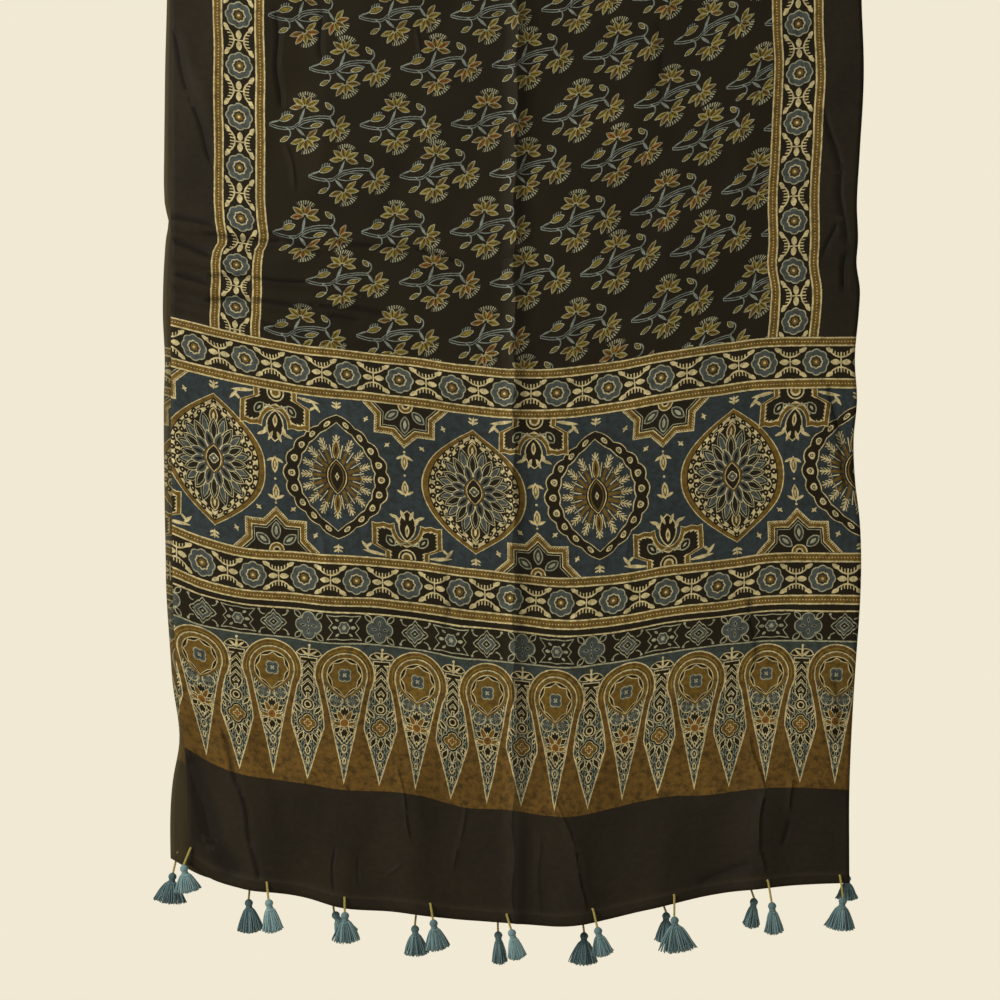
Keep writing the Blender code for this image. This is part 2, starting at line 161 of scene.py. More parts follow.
# Creases that were pressed into the front half, in millimetres: x from the middle, y below the fold
# (x, y, to x, to y, height, half width on its left or lower side, and on its other side)
PRESSED_LINES = (
    (8.0, 80.0, 4.0, 340.0, 3.0, 14.0, 20.0), (4.0, 340.0, 3.0, 1030.0, 3.0, 12.0, 22.0),
    (-288.0, 826.0, -270.0, 880.0, -1.8, 5.0, 5.0), (-270.0, 880.0, -258.0, 932.0, -2.0, 5.0, 5.0),
    (-258.0, 932.0, -252.0, 966.0, -1.6, 5.0, 5.0), (-322.0, 850.0, -298.0, 935.0, -2.6, 18.0, 18.0),
    (-298.0, 935.0, -276.0, 962.0, -2.4, 16.0, 16.0), (-112.0, 858.0, -105.0, 902.0, 1.3, 5.0, 3.0),
    (-105.0, 902.0, -99.0, 928.0, 1.4, 4.0, 3.0), (-46.0, 898.0, -48.0, 930.0, 1.0, 5.0, 4.0),
    (-48.0, 930.0, -57.0, 956.0, 0.9, 5.0, 4.0), (-176.0, 944.0, -176.0, 978.0, -1.1, 3.0, 3.0),
    (-152.0, 948.0, -150.0, 974.0, -0.6, 3.0, 3.0), (-122.0, 966.0, -112.0, 958.0, 0.7, 4.0, 4.0),
    (44.0, 884.0, 62.0, 932.0, 1.4, 9.0, 3.5), (62.0, 932.0, 69.0, 956.0, 1.6, 10.0, 3.5),
    (69.0, 956.0, 74.0, 996.0, 1.6, 10.0, 3.5), (241.0, 830.0, 254.0, 882.0, 1.8, 7.0, 4.0),
    (254.0, 884.0, 247.0, 940.0, 2.0, 8.0, 4.0), (247.0, 940.0, 255.0, 958.0, 1.4, 6.0, 4.0),
    (282.0, 874.0, 281.0, 900.0, 1.5, 6.0, 3.5), (279.0, 914.0, 272.0, 932.0, -1.3, 5.0, 5.0),
    (190.0, 974.0, 236.0, 955.0, -1.0, 9.0, 9.0), (29.0, 930.0, 29.0, 1000.0, 0.7, 8.0, 4.0),
    (241.0, 690.0, 247.0, 752.0, -1.6, 6.0, 6.0), (322.0, 480.0, 338.0, 580.0, -1.9, 6.0, 6.0),
    (-60.0, 640.0, -64.0, 720.0, -1.1, 8.0, 8.0), (327.0, 770.0, 329.0, 830.0, -1.2, 7.0, 7.0),
    (120.0, 600.0, 116.0, 720.0, 0.9, 10.0, 10.0), (-190.0, 560.0, -184.0, 700.0, 0.8, 12.0, 12.0),
    (-338.0, 120.0, -320.0, 187.0, -1.2, 5.0, 9.0), (-320.0, 187.0, -299.0, 251.0, -1.3, 5.0, 9.0),
    (-234.0, 100.0, -231.0, 192.0, -1.5, 6.0, 6.0), (-224.0, 236.0, -215.0, 276.0, 0.9, 6.0, 4.0),
    (-190.0, 100.0, -188.0, 145.0, -1.3, 6.0, 6.0), (-94.0, 122.0, -90.0, 150.0, 0.8, 5.0, 4.0),
    (-340.0, 307.0, -298.0, 314.0, -1.8, 4.0, 6.0), (-338.0, 330.0, -302.0, 346.0, -1.8, 5.0, 6.0),
    (-332.0, 362.0, -300.0, 373.0, -1.7, 3.5, 5.0), (-300.0, 325.0, -232.0, 331.0, -1.5, 5.0, 5.0),
    (-242.0, 321.0, -188.0, 346.0, -1.3, 5.0, 5.0), (-172.0, 331.0, -98.0, 338.0, -1.7, 4.0, 5.0),
    (-98.0, 338.0, -48.0, 353.0, -1.7, 4.0, 5.0), (-300.0, 366.0, -204.0, 371.0, -1.4, 4.0, 4.0),
    (-300.0, 389.0, -188.0, 395.0, -1.9, 5.0, 6.0), (-188.0, 395.0, -128.0, 403.0, -1.7, 5.0, 5.0),
    (-250.0, 413.0, -205.0, 421.0, -1.3, 5.0, 5.0), (-178.0, 406.0, -150.0, 412.0, -1.2, 5.0, 5.0),
    (318.0, 200.0, 332.0, 262.0, -1.7, 9.0, 4.0), (332.0, 262.0, 337.0, 332.0, -1.7, 9.0, 4.0),
    (316.0, 343.0, 326.0, 316.0, -1.4, 5.0, 5.0), (334.0, 376.0, 338.0, 346.0, -1.9, 7.0, 7.0),
    (150.0, 112.0, 153.0, 190.0, -0.9, 12.0, 12.0),
)
PRESSED_PAST = 5.0     # how far a crease runs past its ends, and over what length it fades there
PRESSED_TAPER = 7.0
PRESSED_WANDER = 1.6
NO_CREASE = (9.0, 9.0, 0.0)

# The print's bands, in millimetres above the hem at mid-width
END_STRIP = 112.0
FINIALS_TOP = 255.0
SMALL_TOP = 287.0
LOWER_BORDER = 292.0
MEDALLIONS_FROM = 344.0
UPPER_BORDER = 503.0
FIELD_FROM = 555.0
BORDER_HALF = 26.0     # half of a flower border's width
BORDER_PITCH = 51.0
SIDE_BORDERS = (-0.2770, 0.2820)     # the side borders' middles, across
SIDE_PHASES = (0.016, 0.027)         # where their flowers start
SIDE_BAND = 6          # number of the left side border; the right one's is the next
# How far the bands have slipped from level, in millimetres: the print heights of the stations, then
# (across, slip at each station but the hem and the last)
SLIP_AT = (0.0, 112.0, 255.0, 318.0, 529.0, 700.0)
SLIP = (
    (-0.346, 6.0, -3.0, 1.5, 2.5), (-0.266, 1.4, 1.0, -1.9, 2.3), (-0.213, 2.9, 4.2, 5.0, 2.5),
    (-0.161, 7.2, 9.7, 10.2, 4.7), (-0.108, 8.0, 10.6, 12.9, 7.0), (-0.056, 1.3, 7.6, 12.6, 6.3),
    (-0.003, 0.9, 6.8, 9.6, 4.2), (0.049, -2.3, 2.2, 4.9, 4.6), (0.101, -1.9, 0.5, 1.0, 4.9),
    (0.153, -3.2, -0.2, -0.2, 6.1), (0.206, -10.6, -3.4, -4.6, 5.1), (0.258, -11.0, -5.1, -4.1, 5.4),
    (0.311, -15.0, -9.1, -6.9, 3.2), (0.346, -18.5, -10.4, -8.0, 2.5),
)
# How far each band's blocks were set to the left, in millimetres:
# (across, finials' tips, finials' heads, small band, lower border, upper border)
ASIDE = (
    (-0.346, 11.0, 10.0, -8.0, 1.0, 6.5), (-0.240, 15.0, 7.0, -7.0, 1.0, 6.0),
    (-0.165, 11.5, 4.0, -6.0, -1.0, 6.0), (-0.090, 7.8, 1.0, -6.0, -3.0, 3.0),
    (-0.020, 4.0, 1.0, -7.0, -2.5, 1.0), (0.060, 6.0, 3.0, -5.0, -3.0, -2.0),
    (0.110, 5.8, 0.5, -5.0, -5.0, -3.0), (0.180, 1.5, 1.0, -5.0, -7.0, -6.5),
    (0.250, -1.4, 0.0, -6.0, -9.0, -8.5), (0.346, -4.3, 0.5, -8.0, -10.5, -9.5),
)
TIPS_AT = 0.117        # print heights of the finials' tips and heads
HEADS_AT = 0.224
BACK_SLIP = ((0.0, 0.0), (112.0, -11.0), (255.0, -20.0), (555.0, -32.0), (1014.0, 0.0))
# The material of each band: finials, small band, border, medallions, border, field, side borders
BAND_MATERIALS = (0, 1, 2, 3, 2, 4, 2, 2)
FIELD_BAND = 5

# How finely the cloth is made
THIN = 0.0007          # thickness of the cloth that is seen
THIN_HEM = 0.0011
COLUMNS = 147
CREASE_COLUMN = 0.0012 # half of the way between the columns beside the middle crease
FRONT_STEP = 5.4       # millimetres between rows
BACK_STEP = 8.5
TURN_STEPS = 8
RIM_PLACE = (0.30, 0.0) # print coordinates of the rim: a plain part of the margin
# How worn the cloth is at the middle crease, at the hem's seam and at the back half's side edges
CREASE_WORN = 0.25
CREASE_WORN_HALF = 0.0035
HEM_WORN = 0.35
EDGE_WORN = 0.9

# The tassels, from left to right, as in the solid, then how light each one's yarn is
# (front half, stitch across, stitch up, top X, top below, foot X, foot below, spread, light)
TASSELS = (
    (False, -0.339, 0.010, -0.340, 0.966, -0.344, 0.997, 0.036, 0.15),
    (True, -0.342, 0.018, -0.327, 0.955, -0.322, 0.983, 0.029, 0.80),
    (False, -0.265, 0.010, -0.264, 0.993, -0.262, 1.027, 0.029, 0.20),
    (True, -0.261, 0.010, -0.241, 0.988, -0.236, 1.021, 0.023, 0.90),
    (False, -0.184, 0.010, -0.178, 1.006, -0.163, 1.033, 0.026, 0.45),
    (True, -0.180, 0.011, -0.165, 1.001, -0.163, 1.032, 0.030, 0.50),
    (False, -0.095, 0.010, -0.096, 1.019, -0.094, 1.050, 0.028, 0.40),
    (True, -0.091, 0.013, -0.077, 1.009, -0.072, 1.040, 0.027, 0.40),
    (False, -0.014, 0.010, -0.012, 1.026, -0.010, 1.059, 0.017, 0.35),
    (True, -0.011, 0.009, 0.001, 1.019, 0.008, 1.049, 0.020, 0.85),
    (False, 0.071, 0.010, 0.075, 1.026, 0.074, 1.059, 0.032, 0.10),
    (True, 0.078, 0.014, 0.087, 1.016, 0.093, 1.045, 0.024, 0.55),
    (False, 0.150, 0.010, 0.158, 1.006, 0.157, 1.037, 0.024, 0.35),
    (True, 0.163, 0.009, 0.164, 1.006, 0.168, 1.042, 0.042, 0.45),
    (False, 0.240, 0.010, 0.247, 0.992, 0.243, 1.022, 0.018, 0.35),
    (True, 0.260, 0.008, 0.261, 0.991, 0.264, 1.023, 0.021, 0.45),
    (True, 0.336, 0.008, 0.333, 0.987, 0.329, 1.020, 0.033, 0.50),
    (False, 0.334, 0.012, 0.340, 0.968, 0.340, 0.994, 0.024, 0.40),
)
STAND_OFF = 0.0058
HEAD_LENGTH = 0.0118
YARN_RADIUS = 0.0009


def smooth_step(start, end, value):
    """Rises smoothly from 0 at start to 1 at end: 3s^2 - 2s^3 of the share s of the way."""
    share = np.clip((value - start) / (end - start), 0.0, 1.0)
    return share * share * (3.0 - 2.0 * share)


def curve_through(rows, column, place):
    """Cubic curve through a column of a table, over its first column, and level past its ends."""
    table = np.array(rows)
    knots = table[:, 0]
    values = table[:, column]
    slopes = np.gradient(values, knots)
    left = np.clip(np.searchsorted(knots, place) - 1, 0, len(knots) - 2)
    span = knots[left + 1] - knots[left]
    t = np.clip((place - knots[left]) / span, 0.0, 1.0)
    near = (1 + 2 * t) * (1 - t) ** 2 * values[left] + t * (1 - t) ** 2 * span * slopes[left]
    far = t * t * (3 - 2 * t) * values[left + 1] + t * t * (t - 1) * span * slopes[left + 1]
    return near + far


def weft_lift(across, down):
    """A weft's height above its lowest point: the line's sag at the fold, then as in the table."""
    line = LINE_SAG * (across / HALF_WIDTH) ** 2
    panel = curve_through(WEFT_LIFT, 1, across)
    hem = curve_through(WEFT_LIFT, 2, across)
    lower = panel + (hem - panel) * smooth_step(BORDER_DOWN, FRONT_DOWN, down)
    lift = line + (lower - line) * smooth_step(0.0, BORDER_DOWN, down)
    caught = CATCH_UP * (1.0 - smooth_step(-HALF_WIDTH, CAUGHT_TO, across))
    return lift + caught * smooth_step(WRINKLES_START, WRINKLES_END, down)


def upright_folds(folds, across, down):
    """Rounded upright ridges, height * exp(-(offset / half width)^2), each growing to the hem."""
    height = 0.0
    for at_start, at_hem, start, outward in folds:
        share = np.clip((down - start) / (FRONT_DOWN - start), 0.0, 1.0)
        middle = at_start + (at_hem - at_start) * share
        ridge = np.exp(-((across - middle) / FOLD_HALF) ** 2)
        height = height + outward * ridge * smooth_step(start, start + FOLD_RISE, down)
    return height


def soft_waves(count, across, down):
    """Long upright cosine waves that are flat at the fold and full at the hem."""
    turns = count * (across / (2 * HALF_WIDTH) + 0.5)
    wave = 0.5 - 0.5 * np.cos(2 * math.pi * turns)
    return WAVE_HEIGHT * wave * smooth_step(WAVES_START, FRONT_DOWN, down)


def creases(across, down):
    """Narrow ridges, height * exp(-distance / half width) from each line, tapered to its ends."""
    height = 0.0
    for x0, y0, x1, y1, outward, half in CREASES:
        span = math.hypot(x1 - x0, y1 - y0)
        ahead = ((across - x0) * (x1 - x0) + (down - y0) * (y1 - y0)) / span ** 2
        wander = 0.25 * half * np.sin(9.0 * ahead + 40.0 * x0)
        aside = ((across - x0) * (y1 - y0) - (down - y0) * (x1 - x0)) / span + wander
        taper = smooth_step(-0.15, 0.25, ahead) * smooth_step(-0.15, 0.25, 1.0 - ahead)
        height = height + outward * taper * np.exp(-np.abs(aside) / half)
    return height


def ripple(across, along):
    """The cloth's own unevenness: a sum of five slow sines, about a millimetre deep."""
    height = 0.0
    for tall, turns_across, turns_along, phase in (
        (0.00050, 5.3, 2.1, 0.3), (0.00040, 3.1, 6.3, 1.9), (0.00026, 11.0, 4.0, 2.6),
        (0.00020, 6.0, 15.0, 4.4), (0.00013, 21.0, 9.0, 5.1),
    ):
        turns = turns_across * across / (2 * HALF_WIDTH) + turns_along * along
        height = height + tall * np.sin(2 * math.pi * turns + phase)
    return height


def front_relief(across, down):
    """How far the front half stands out from its plane: waves, folds, crease and wrinkles."""
    crease = CREASE_HEIGHT * np.exp(-np.abs(across) / CREASE_HALF)
    crease = crease + PRESSED_HEIGHT * np.exp(-np.abs(across) / PRESSED_HALF)
    crease = crease * smooth_step(CREASE_START, CREASE_FULL, down)
    reach = 1.0 - smooth_step(-HALF_WIDTH, CAUGHT_TO, across)
    wrinkled = 0.0
    for middle, outward in WRINKLES:
        wrinkled = wrinkled + outward * np.exp(-((down - middle) / WRINKLE_HALF) ** 2)
    folded = upright_folds(FRONT_FOLDS, across, down) + creases(across, down)
    return soft_waves(FRONT_WAVES, across, down) + folded + crease + wrinkled * reach


def back_relief(across, down):
    """How far the back half stands out from its plane: waves, folds and the pressed crease."""
    crease = CREASE_HEIGHT * np.exp(-np.abs(across) / CREASE_HALF)
    crease = crease * smooth_step(CREASE_START, CREASE_FULL, down)
    return soft_waves(BACK_WAVES, across, down) + upright_folds(BACK_FOLDS, across, down) + crease


def cloth_surface(across, along):
    """Middle surface of the cloth: a half turn over the line between two hanging halves.

    In the turn, y = -R sin(a) and z = R (cos(a) - 1) for the angle a = along / R. Below it, z falls
    by the length, raised by the weft's lift, and y is moved outwards by the relief. X runs evenly
    from the left edge to the right one at that height, but for the kink beside the wrinkles.
    """
    across, along = np.broadcast_arrays(np.asarray(across, float), np.asarray(along, float))
    turn = np.clip(along / FOLD_RADIUS, -math.pi / 2, math.pi / 2)
    down = np.maximum(np.abs(along) - QUARTER_TURN, 0.0)
    front = along > 0
    z = FOLD_RADIUS * (np.cos(turn) - 1.0) - down + weft_lift(across, down) - SHEET / 2
    outward = np.where(front, front_relief(across, down), back_relief(across, down))
    outward = outward + ripple(across, along) * smooth_step(0.0, 0.05, down)
    y = -FOLD_RADIUS * np.sin(turn) - np.sign(along) * outward
    own = smooth_step(0.0, OWN_SIDES_DOWN, down)
    sides = []
    for column, at_top in ((1, TOP_LEFT), (2, TOP_RIGHT)):
        on_front = curve_through(FRONT_SIDES, column, -z)
        on_back = curve_through(BACK_SIDES, column, -z)
        sides.append(at_top + (np.where(front, on_front, on_back) - at_top) * own)
    left, right = sides
    x = (left + right) / 2 + across / HALF_WIDTH * (right - left) / 2
    table = np.array(KINK)
    kink = np.interp(-z, table[:, 0], table[:, 1]) * front
    kink = kink * smooth_step(-HALF_WIDTH, KINK_EDGE, across)
    kink = kink * (1.0 - smooth_step(KINK_FROM, CAUGHT_TO, across))
    return np.stack((x + kink, y, z), axis=-1)


def band_rows(step, length):
    """Print heights of the rows, from the hem to the fold: even steps inside each band."""
    stops = (0.0, HEM_DEPTH * 1000 - 1.5, HEM_DEPTH * 1000, END_STRIP, FINIALS_TOP, SMALL_TOP,
             MEDALLIONS_FROM, UPPER_BORDER, FIELD_FROM, length)
    rows = []
    for start, end in zip(stops, stops[1:]):
        rows.extend(np.linspace(start, end, max(1, round((end - start) / step)), endpoint=False))
    return np.array(rows + [length])


def front_up(height, across):
    """Real height above the front hem of a print height, in millimetres: the slip is added."""
    level = 0.0 * across
    slips = [level, *(curve_through(SLIP, column, across) for column in (1, 2, 3, 4)), level]
    slip = 0.0
    for before, after, low, high in zip(SLIP_AT, SLIP_AT[1:], slips, slips[1:]):
        share = np.clip((height - before) / (after - before), 0.0, 1.0)
        slip = slip + (high - low) * share
    return height + slip


def back_up(height, across):
    """Real height above the back hem of a print height, whose slip is the same right across."""
    slip = np.array(BACK_SLIP)
    return height + np.interp(height, slip[:, 0], slip[:, 1]) + 0.0 * across


def cloth_grid():
    """Across and along of the sheet's grid, each row's print height, and whether it is in front.

    Rows run from the back hem over the fold to the front hem and follow the print's bands. Columns
    stand where the side borders meet the field and the margins, and close beside the middle crease.
    """
    edges = [-HALF_WIDTH, -CREASE_COLUMN, CREASE_COLUMN, HALF_WIDTH]
    for middle in SIDE_BORDERS:
        edges += [middle - BORDER_HALF / 1000, middle + BORDER_HALF / 1000]
    edges.sort()
    across = []
    for start, end in zip(edges, edges[1:]):
        count = max(1, round((end - start) / (2 * HALF_WIDTH) * COLUMNS))
        across.extend(np.linspace(start, end, count, endpoint=False))
    across = np.array(across + [HALF_WIDTH])
    front_heights = band_rows(FRONT_STEP, FRONT_DOWN * 1000)
    back_heights = band_rows(BACK_STEP, BACK_DOWN * 1000)
    front = QUARTER_TURN + FRONT_DOWN - front_up(front_heights[:, None], across) / 1000
    back = -QUARTER_TURN - BACK_DOWN + back_up(back_heights[:, None], across) / 1000
    turn = np.linspace(-QUARTER_TURN, QUARTER_TURN, TURN_STEPS + 1)[1:-1, None] + 0.0 * across
    along = np.concatenate((back, turn, front[::-1]))
    heights = np.concatenate((back_heights, np.full(len(turn), 1e4), front_heights[::-1]))
    is_front = np.concatenate((np.zeros(len(back), bool), np.ones(len(turn) + len(front), bool)))
    return across, along, heights, is_front


def face_bands(across, heights):
    """Band number of each face, from its print height, and the side borders' own in the field."""
    middle = (heights[1:] + heights[:-1]) / 2
    stops = (FINIALS_TOP, SMALL_TOP, MEDALLIONS_FROM, UPPER_BORDER, FIELD_FROM)
    band = np.searchsorted(stops, middle)[:, None] + np.zeros(len(across) - 1, int)
    centre = (across[1:] + across[:-1]) / 2
    for number, border in enumerate(SIDE_BORDERS):
        beside = np.abs(centre - border) < BORDER_HALF / 1000
        band = np.where((band == FIELD_BAND) & beside, SIDE_BAND + number, band)
    return band


def print_places(across, along, heights, band):
    """Print coordinates of each corner of each face, in metres, in its own band.

    Borders are measured from their middle line, the other bands from their lower edge, and the
    field from the fold. On a side border the length along the cloth is its first coordinate. The
    bands of the end panel are moved aside as their blocks were.
    """
    table = np.array(ASIDE)
    lower = (0.0, FINIALS_TOP, LOWER_BORDER + BORDER_HALF, MEDALLIONS_FROM,
             UPPER_BORDER + BORDER_HALF)
    corners = []
    for row, column in ((0, 0), (1, 0), (1, 1), (0, 1)):
        place = slice(row, row - 1 or None), slice(column, column - 1 or None)
        u = (across + 0.0 * along)[place]
        length = along[place]
        height = np.broadcast_to(heights[:, None], along.shape)[place] / 1000
        v = -length
        tips, heads, small, lowest, upper = (
            np.interp(u, table[:, 0], shifts) for shifts in table[:, 1:].T)
        share = (height - TIPS_AT) / (HEADS_AT - TIPS_AT)
        finials = tips + (heads - tips) * np.clip(share, -0.5, 1.3)
        aside = 0.0 * u
        for number, shift in ((0, finials), (1, small), (2, lowest), (4, upper)):
            aside = np.where(band == number, shift, aside)
        u = u + aside / 1000
        for number, start in enumerate(lower):
            v = np.where(band == number, height - start / 1000, v)
        for number, border in enumerate(SIDE_BORDERS):
            v = np.where(band == SIDE_BAND + number, u - border, v)
            u = np.where(band == SIDE_BAND + number, SIDE_PHASES[number] - length, u)
        corners.append(np.stack((u, v), axis=-1))
    return np.stack(corners, axis=2)


def pressed_marks(middle, is_front):
    """The nearest pressed crease of each face, at each of its corners, as three numbers.

    The first two are the distances to its two sides, each over the half width there and less than
    0 on the other side, and the third is its height, tapered to its ends. The lines wander by slow
    sines, and no crease is nearest where the distance is 9 or more, or on the back half.
    """
    place = middle[..., (0, 2)] * (1000.0, -1000.0)
    wander = np.sin(place[..., ::-1] / (11.0, 17.0) + 2.0 * np.sin(place / 37.0))
    place = place + PRESSED_WANDER * wander
    corners = np.stack((place[:-1, :-1], place[1:, :-1], place[1:, 1:], place[:-1, 1:]), axis=2)
    marks = np.zeros(corners.shape[:3] + (3,)) + NO_CREASE
    nearest = np.full(corners.shape[:2], NO_CREASE[0])
    nearest[~is_front[1:]] = -NO_CREASE[0]
    for x, y, to_x, to_y, height, before, after in PRESSED_LINES:
        long = math.hypot(to_x - x, to_y - y)
        way = np.array((to_x - x, to_y - y)) / long
        ahead = (corners - (x, y)) @ way
        aside = (corners - (x, y)) @ (-way[1], way[0])
        within = np.minimum(ahead, long - ahead) + PRESSED_PAST
        taper = np.clip(within / PRESSED_TAPER, 0.0, 1.0)
        values = np.stack((aside / before, -aside / after, height * taper), axis=-1)
        missed = within.max(axis=2) < 0.0
        away = values[..., :2].mean(axis=2).max(axis=-1) + NO_CREASE[0] * missed
        closer = away < nearest
        marks = np.where(closer[..., None, None], values, marks)
        nearest = np.where(closer, away, nearest)
    return marks.reshape(-1, 4, 3)


def new_mesh(name, points, quads):
    """A smooth mesh of four-sided faces in an object of its own."""
    mesh = bpy.data.meshes.new(name)
    mesh.vertices.add(len(points))
    mesh.vertices.foreach_set("co", np.ascontiguousarray(points, dtype=np.float32).ravel())
    mesh.loops.add(quads.size)
    mesh.loops.foreach_set("vertex_index", np.ascontiguousarray(quads, dtype=np.int32).ravel())
    mesh.polygons.add(len(quads))
    mesh.polygons.foreach_set("loop_start", np.arange(0, quads.size, 4, dtype=np.int32))
    mesh.update(calc_edges=True)
    mesh.shade_smooth()
    made = bpy.data.objects.new(name, mesh)
    bpy.context.collection.objects.link(made)
    return made


def tubes(paths, radii, sides, turn=0.0):
    """Closed tubes: at each point of each path, a ring of radius r around it, square to the path.

    paths is (tubes, steps, 3) and radii (tubes, steps). Gives points and four-sided faces, whose
    ends are closed by faces of four sides, so sides is 4 or 8.
    """
    ahead = np.gradient(paths, axis=1)
    ahead = ahead / np.linalg.norm(ahead, axis=-1, keepdims=True)
    side = np.cross(ahead, (0.0, 1.0, 0.02))
    side = side / np.linalg.norm(side, axis=-1, keepdims=True)
    other = np.cross(ahead, side)
    angle = 2 * math.pi * np.arange(sides) / sides + turn
    ring = side[:, :, None] * np.cos(angle)[:, None] + other[:, :, None] * np.sin(angle)[:, None]
    points = paths[:, :, None] + ring * radii[:, :, None, None]
    count, steps = paths.shape[:2]
    number = np.arange(count * steps * sides).reshape(count, steps, sides)
    after = np.roll(number, -1, axis=2)
    walls = np.stack((number[:, :-1], after[:, :-1], after[:, 1:], number[:, 1:]), axis=-1)
    faces = [walls.reshape(-1, 4)]
    for cut in range(1, sides - 2, 2):
        picked = [0, cut, cut + 1, cut + 2]
        faces.append(number[:, 0][:, picked[::-1]])
        faces.append(number[:, -1][:, picked])
    return points.reshape(-1, 3), np.concatenate(faces)


def make_sheet(name):
    """The cloth: its middle surface moved out and in by half of its thickness, closed by a rim."""
    across, along, heights, is_front = cloth_grid()
    middle = cloth_surface(across, along)
    outward = np.cross(np.gradient(middle, axis=0), np.gradient(middle, axis=1))
    outward = outward / np.linalg.norm(outward, axis=-1, keepdims=True)
    hem = (heights < HEM_DEPTH * 1000 - 0.1)[:, None, None]
    half = np.where(hem, THIN_HEM, THIN) / 2 * outward
    rows, columns = along.shape
    points = np.concatenate(((middle + half).reshape(-1, 3), (middle - half).reshape(-1, 3)))
    number = np.arange(rows * columns).reshape(rows, columns)
    inner = rows * columns
    outer = np.stack((number[:-1, :-1], number[1:, :-1], number[1:, 1:], number[:-1, 1:]), axis=-1)
    outer = outer.reshape(-1, 4)
    rim = np.concatenate((number[0, :-1], number[:-1, -1], number[-1, :0:-1], number[:0:-1, 0]))
    after = np.roll(rim, -1)
    edge = np.stack((rim, after, after + inner, rim + inner), axis=-1)
    quads = np.concatenate((outer, outer[:, ::-1] + inner, edge))
    sheet = new_mesh(name, points, quads)

    band = face_bands(across, heights)
    places = print_places(across, along, heights, band).reshape(-1, 4, 2)
    rim_places = np.zeros((len(edge), 4, 2)) + RIM_PLACE
    layer = sheet.data.uv_layers.new(name="print")
    corners = np.concatenate((places, places[:, ::-1], rim_places))
    layer.data.foreach_set("uv", corners.astype(np.float32).ravel())
    marks = pressed_marks(middle, is_front)
    marks = np.concatenate((marks, marks[:, ::-1], np.zeros((len(edge), 4, 3)) + NO_CREASE))
    layer = sheet.data.attributes.new("pressed", "FLOAT_VECTOR", "CORNER")
    layer.data.foreach_set("vector", marks.astype(np.float32).ravel())
    slots = np.array(BAND_MATERIALS)[band.ravel()]
    slots = np.concatenate((slots, slots, np.full(len(edge), BAND_MATERIALS[FIELD_BAND])))
    sheet.data.polygons.foreach_set("material_index", slots.astype(np.int32))
    add_tone(sheet, "reverse", np.concatenate((np.zeros(inner), np.ones(inner))))
    worn = CREASE_WORN * np.exp(-np.abs(across) / CREASE_WORN_HALF) * is_front[:, None]
    worn = worn + HEM_WORN * (np.abs(heights - HEM_DEPTH * 1000) < 0.1)[:, None]
    worn = worn + EDGE_WORN * (np.abs(across) > HALF_WIDTH - 0.001) * ~is_front[:, None]
    add_tone(sheet, "worn", np.concatenate((worn.ravel(), worn.ravel())))
    return sheet


def add_tone(piece, name, values):
    """Stores one number at each point of a piece, for its material."""
    layer = piece.data.attributes.new(name, "FLOAT", "POINT")
    layer.data.foreach_set("value", np.clip(values, 0.0, 1.0).astype(np.float32))


def stitch_places():
    """Where each yarn goes through a hem: the middle surface's point and its outward normal."""
    rows = np.array([row[1:3] for row in TASSELS])
    front = np.array([row[0] for row in TASSELS])
    length = QUARTER_TURN + np.where(front, FRONT_DOWN, BACK_DOWN)
    along = np.where(front, 1.0, -1.0) * (length - rows[:, 1])
    point = cloth_surface(rows[:, 0], along)
    aside = cloth_surface(rows[:, 0] + 1e-3, along) - point
    ahead = cloth_surface(rows[:, 0], along + 1e-3) - point
    outward = np.cross(ahead, aside)
    return point, outward / np.linalg.norm(outward, axis=-1, keepdims=True)


def tassel_ends(number, stitch):
    """Top and foot of a tassel's axis, which stands off from the cloth at its stitch."""
    front, _, _, top_x, top_below, foot_x, foot_below = TASSELS[number][:7]
    depth = stitch[1] + (-STAND_OFF if front else STAND_OFF)
    return np.array((top_x, depth, -top_below)), np.array((foot_x, depth, -foot_below))


HEAD_PROFILE = (
    (0.00, 0.0006), (0.06, 0.0020), (0.16, 0.0031), (0.32, 0.0039), (0.46, 0.0037),
    (0.58, 0.0028), (0.68, 0.0024), (0.80, 0.0026), (0.92, 0.0037), (1.00, 0.0040),
)
HEAD_RINGS = 24
HEAD_SIDES = 40
HEAD_STRANDS = 13
THREADS = 136
THREAD_STEPS = 8
THREAD_RADIUS = 0.00056
THREADS_FROM = 0.70    # where the threads start, as a share of the head's length
NECK_RADIUS = 0.0023
SKIRT_DEPTH = 0.0058   # half of the skirt's thickness at the foot
FLARE = 0.62
GOLDEN_TURN = 0.618034
WRAP_TURNS = 4
WRAP_STEPS = 14        # to a turn
WRAP_FROM = 0.56       # the neck wrap's start and length, as shares of the head's length
WRAP_LONG = 0.20
WRAP_OUT = 0.0029
WRAP_RADIUS = 0.00042
TIE_STEPS = 46
PLY_RADIUS = 0.00068
PLY_ASIDE = 0.00055
PLY_TURN = 0.0042      # length of one turn of the plies
# How far the ties' colour lies from the ply's painted shade towards its painted highlight
TIE_HIGHLIGHT_SHARE = 0.6


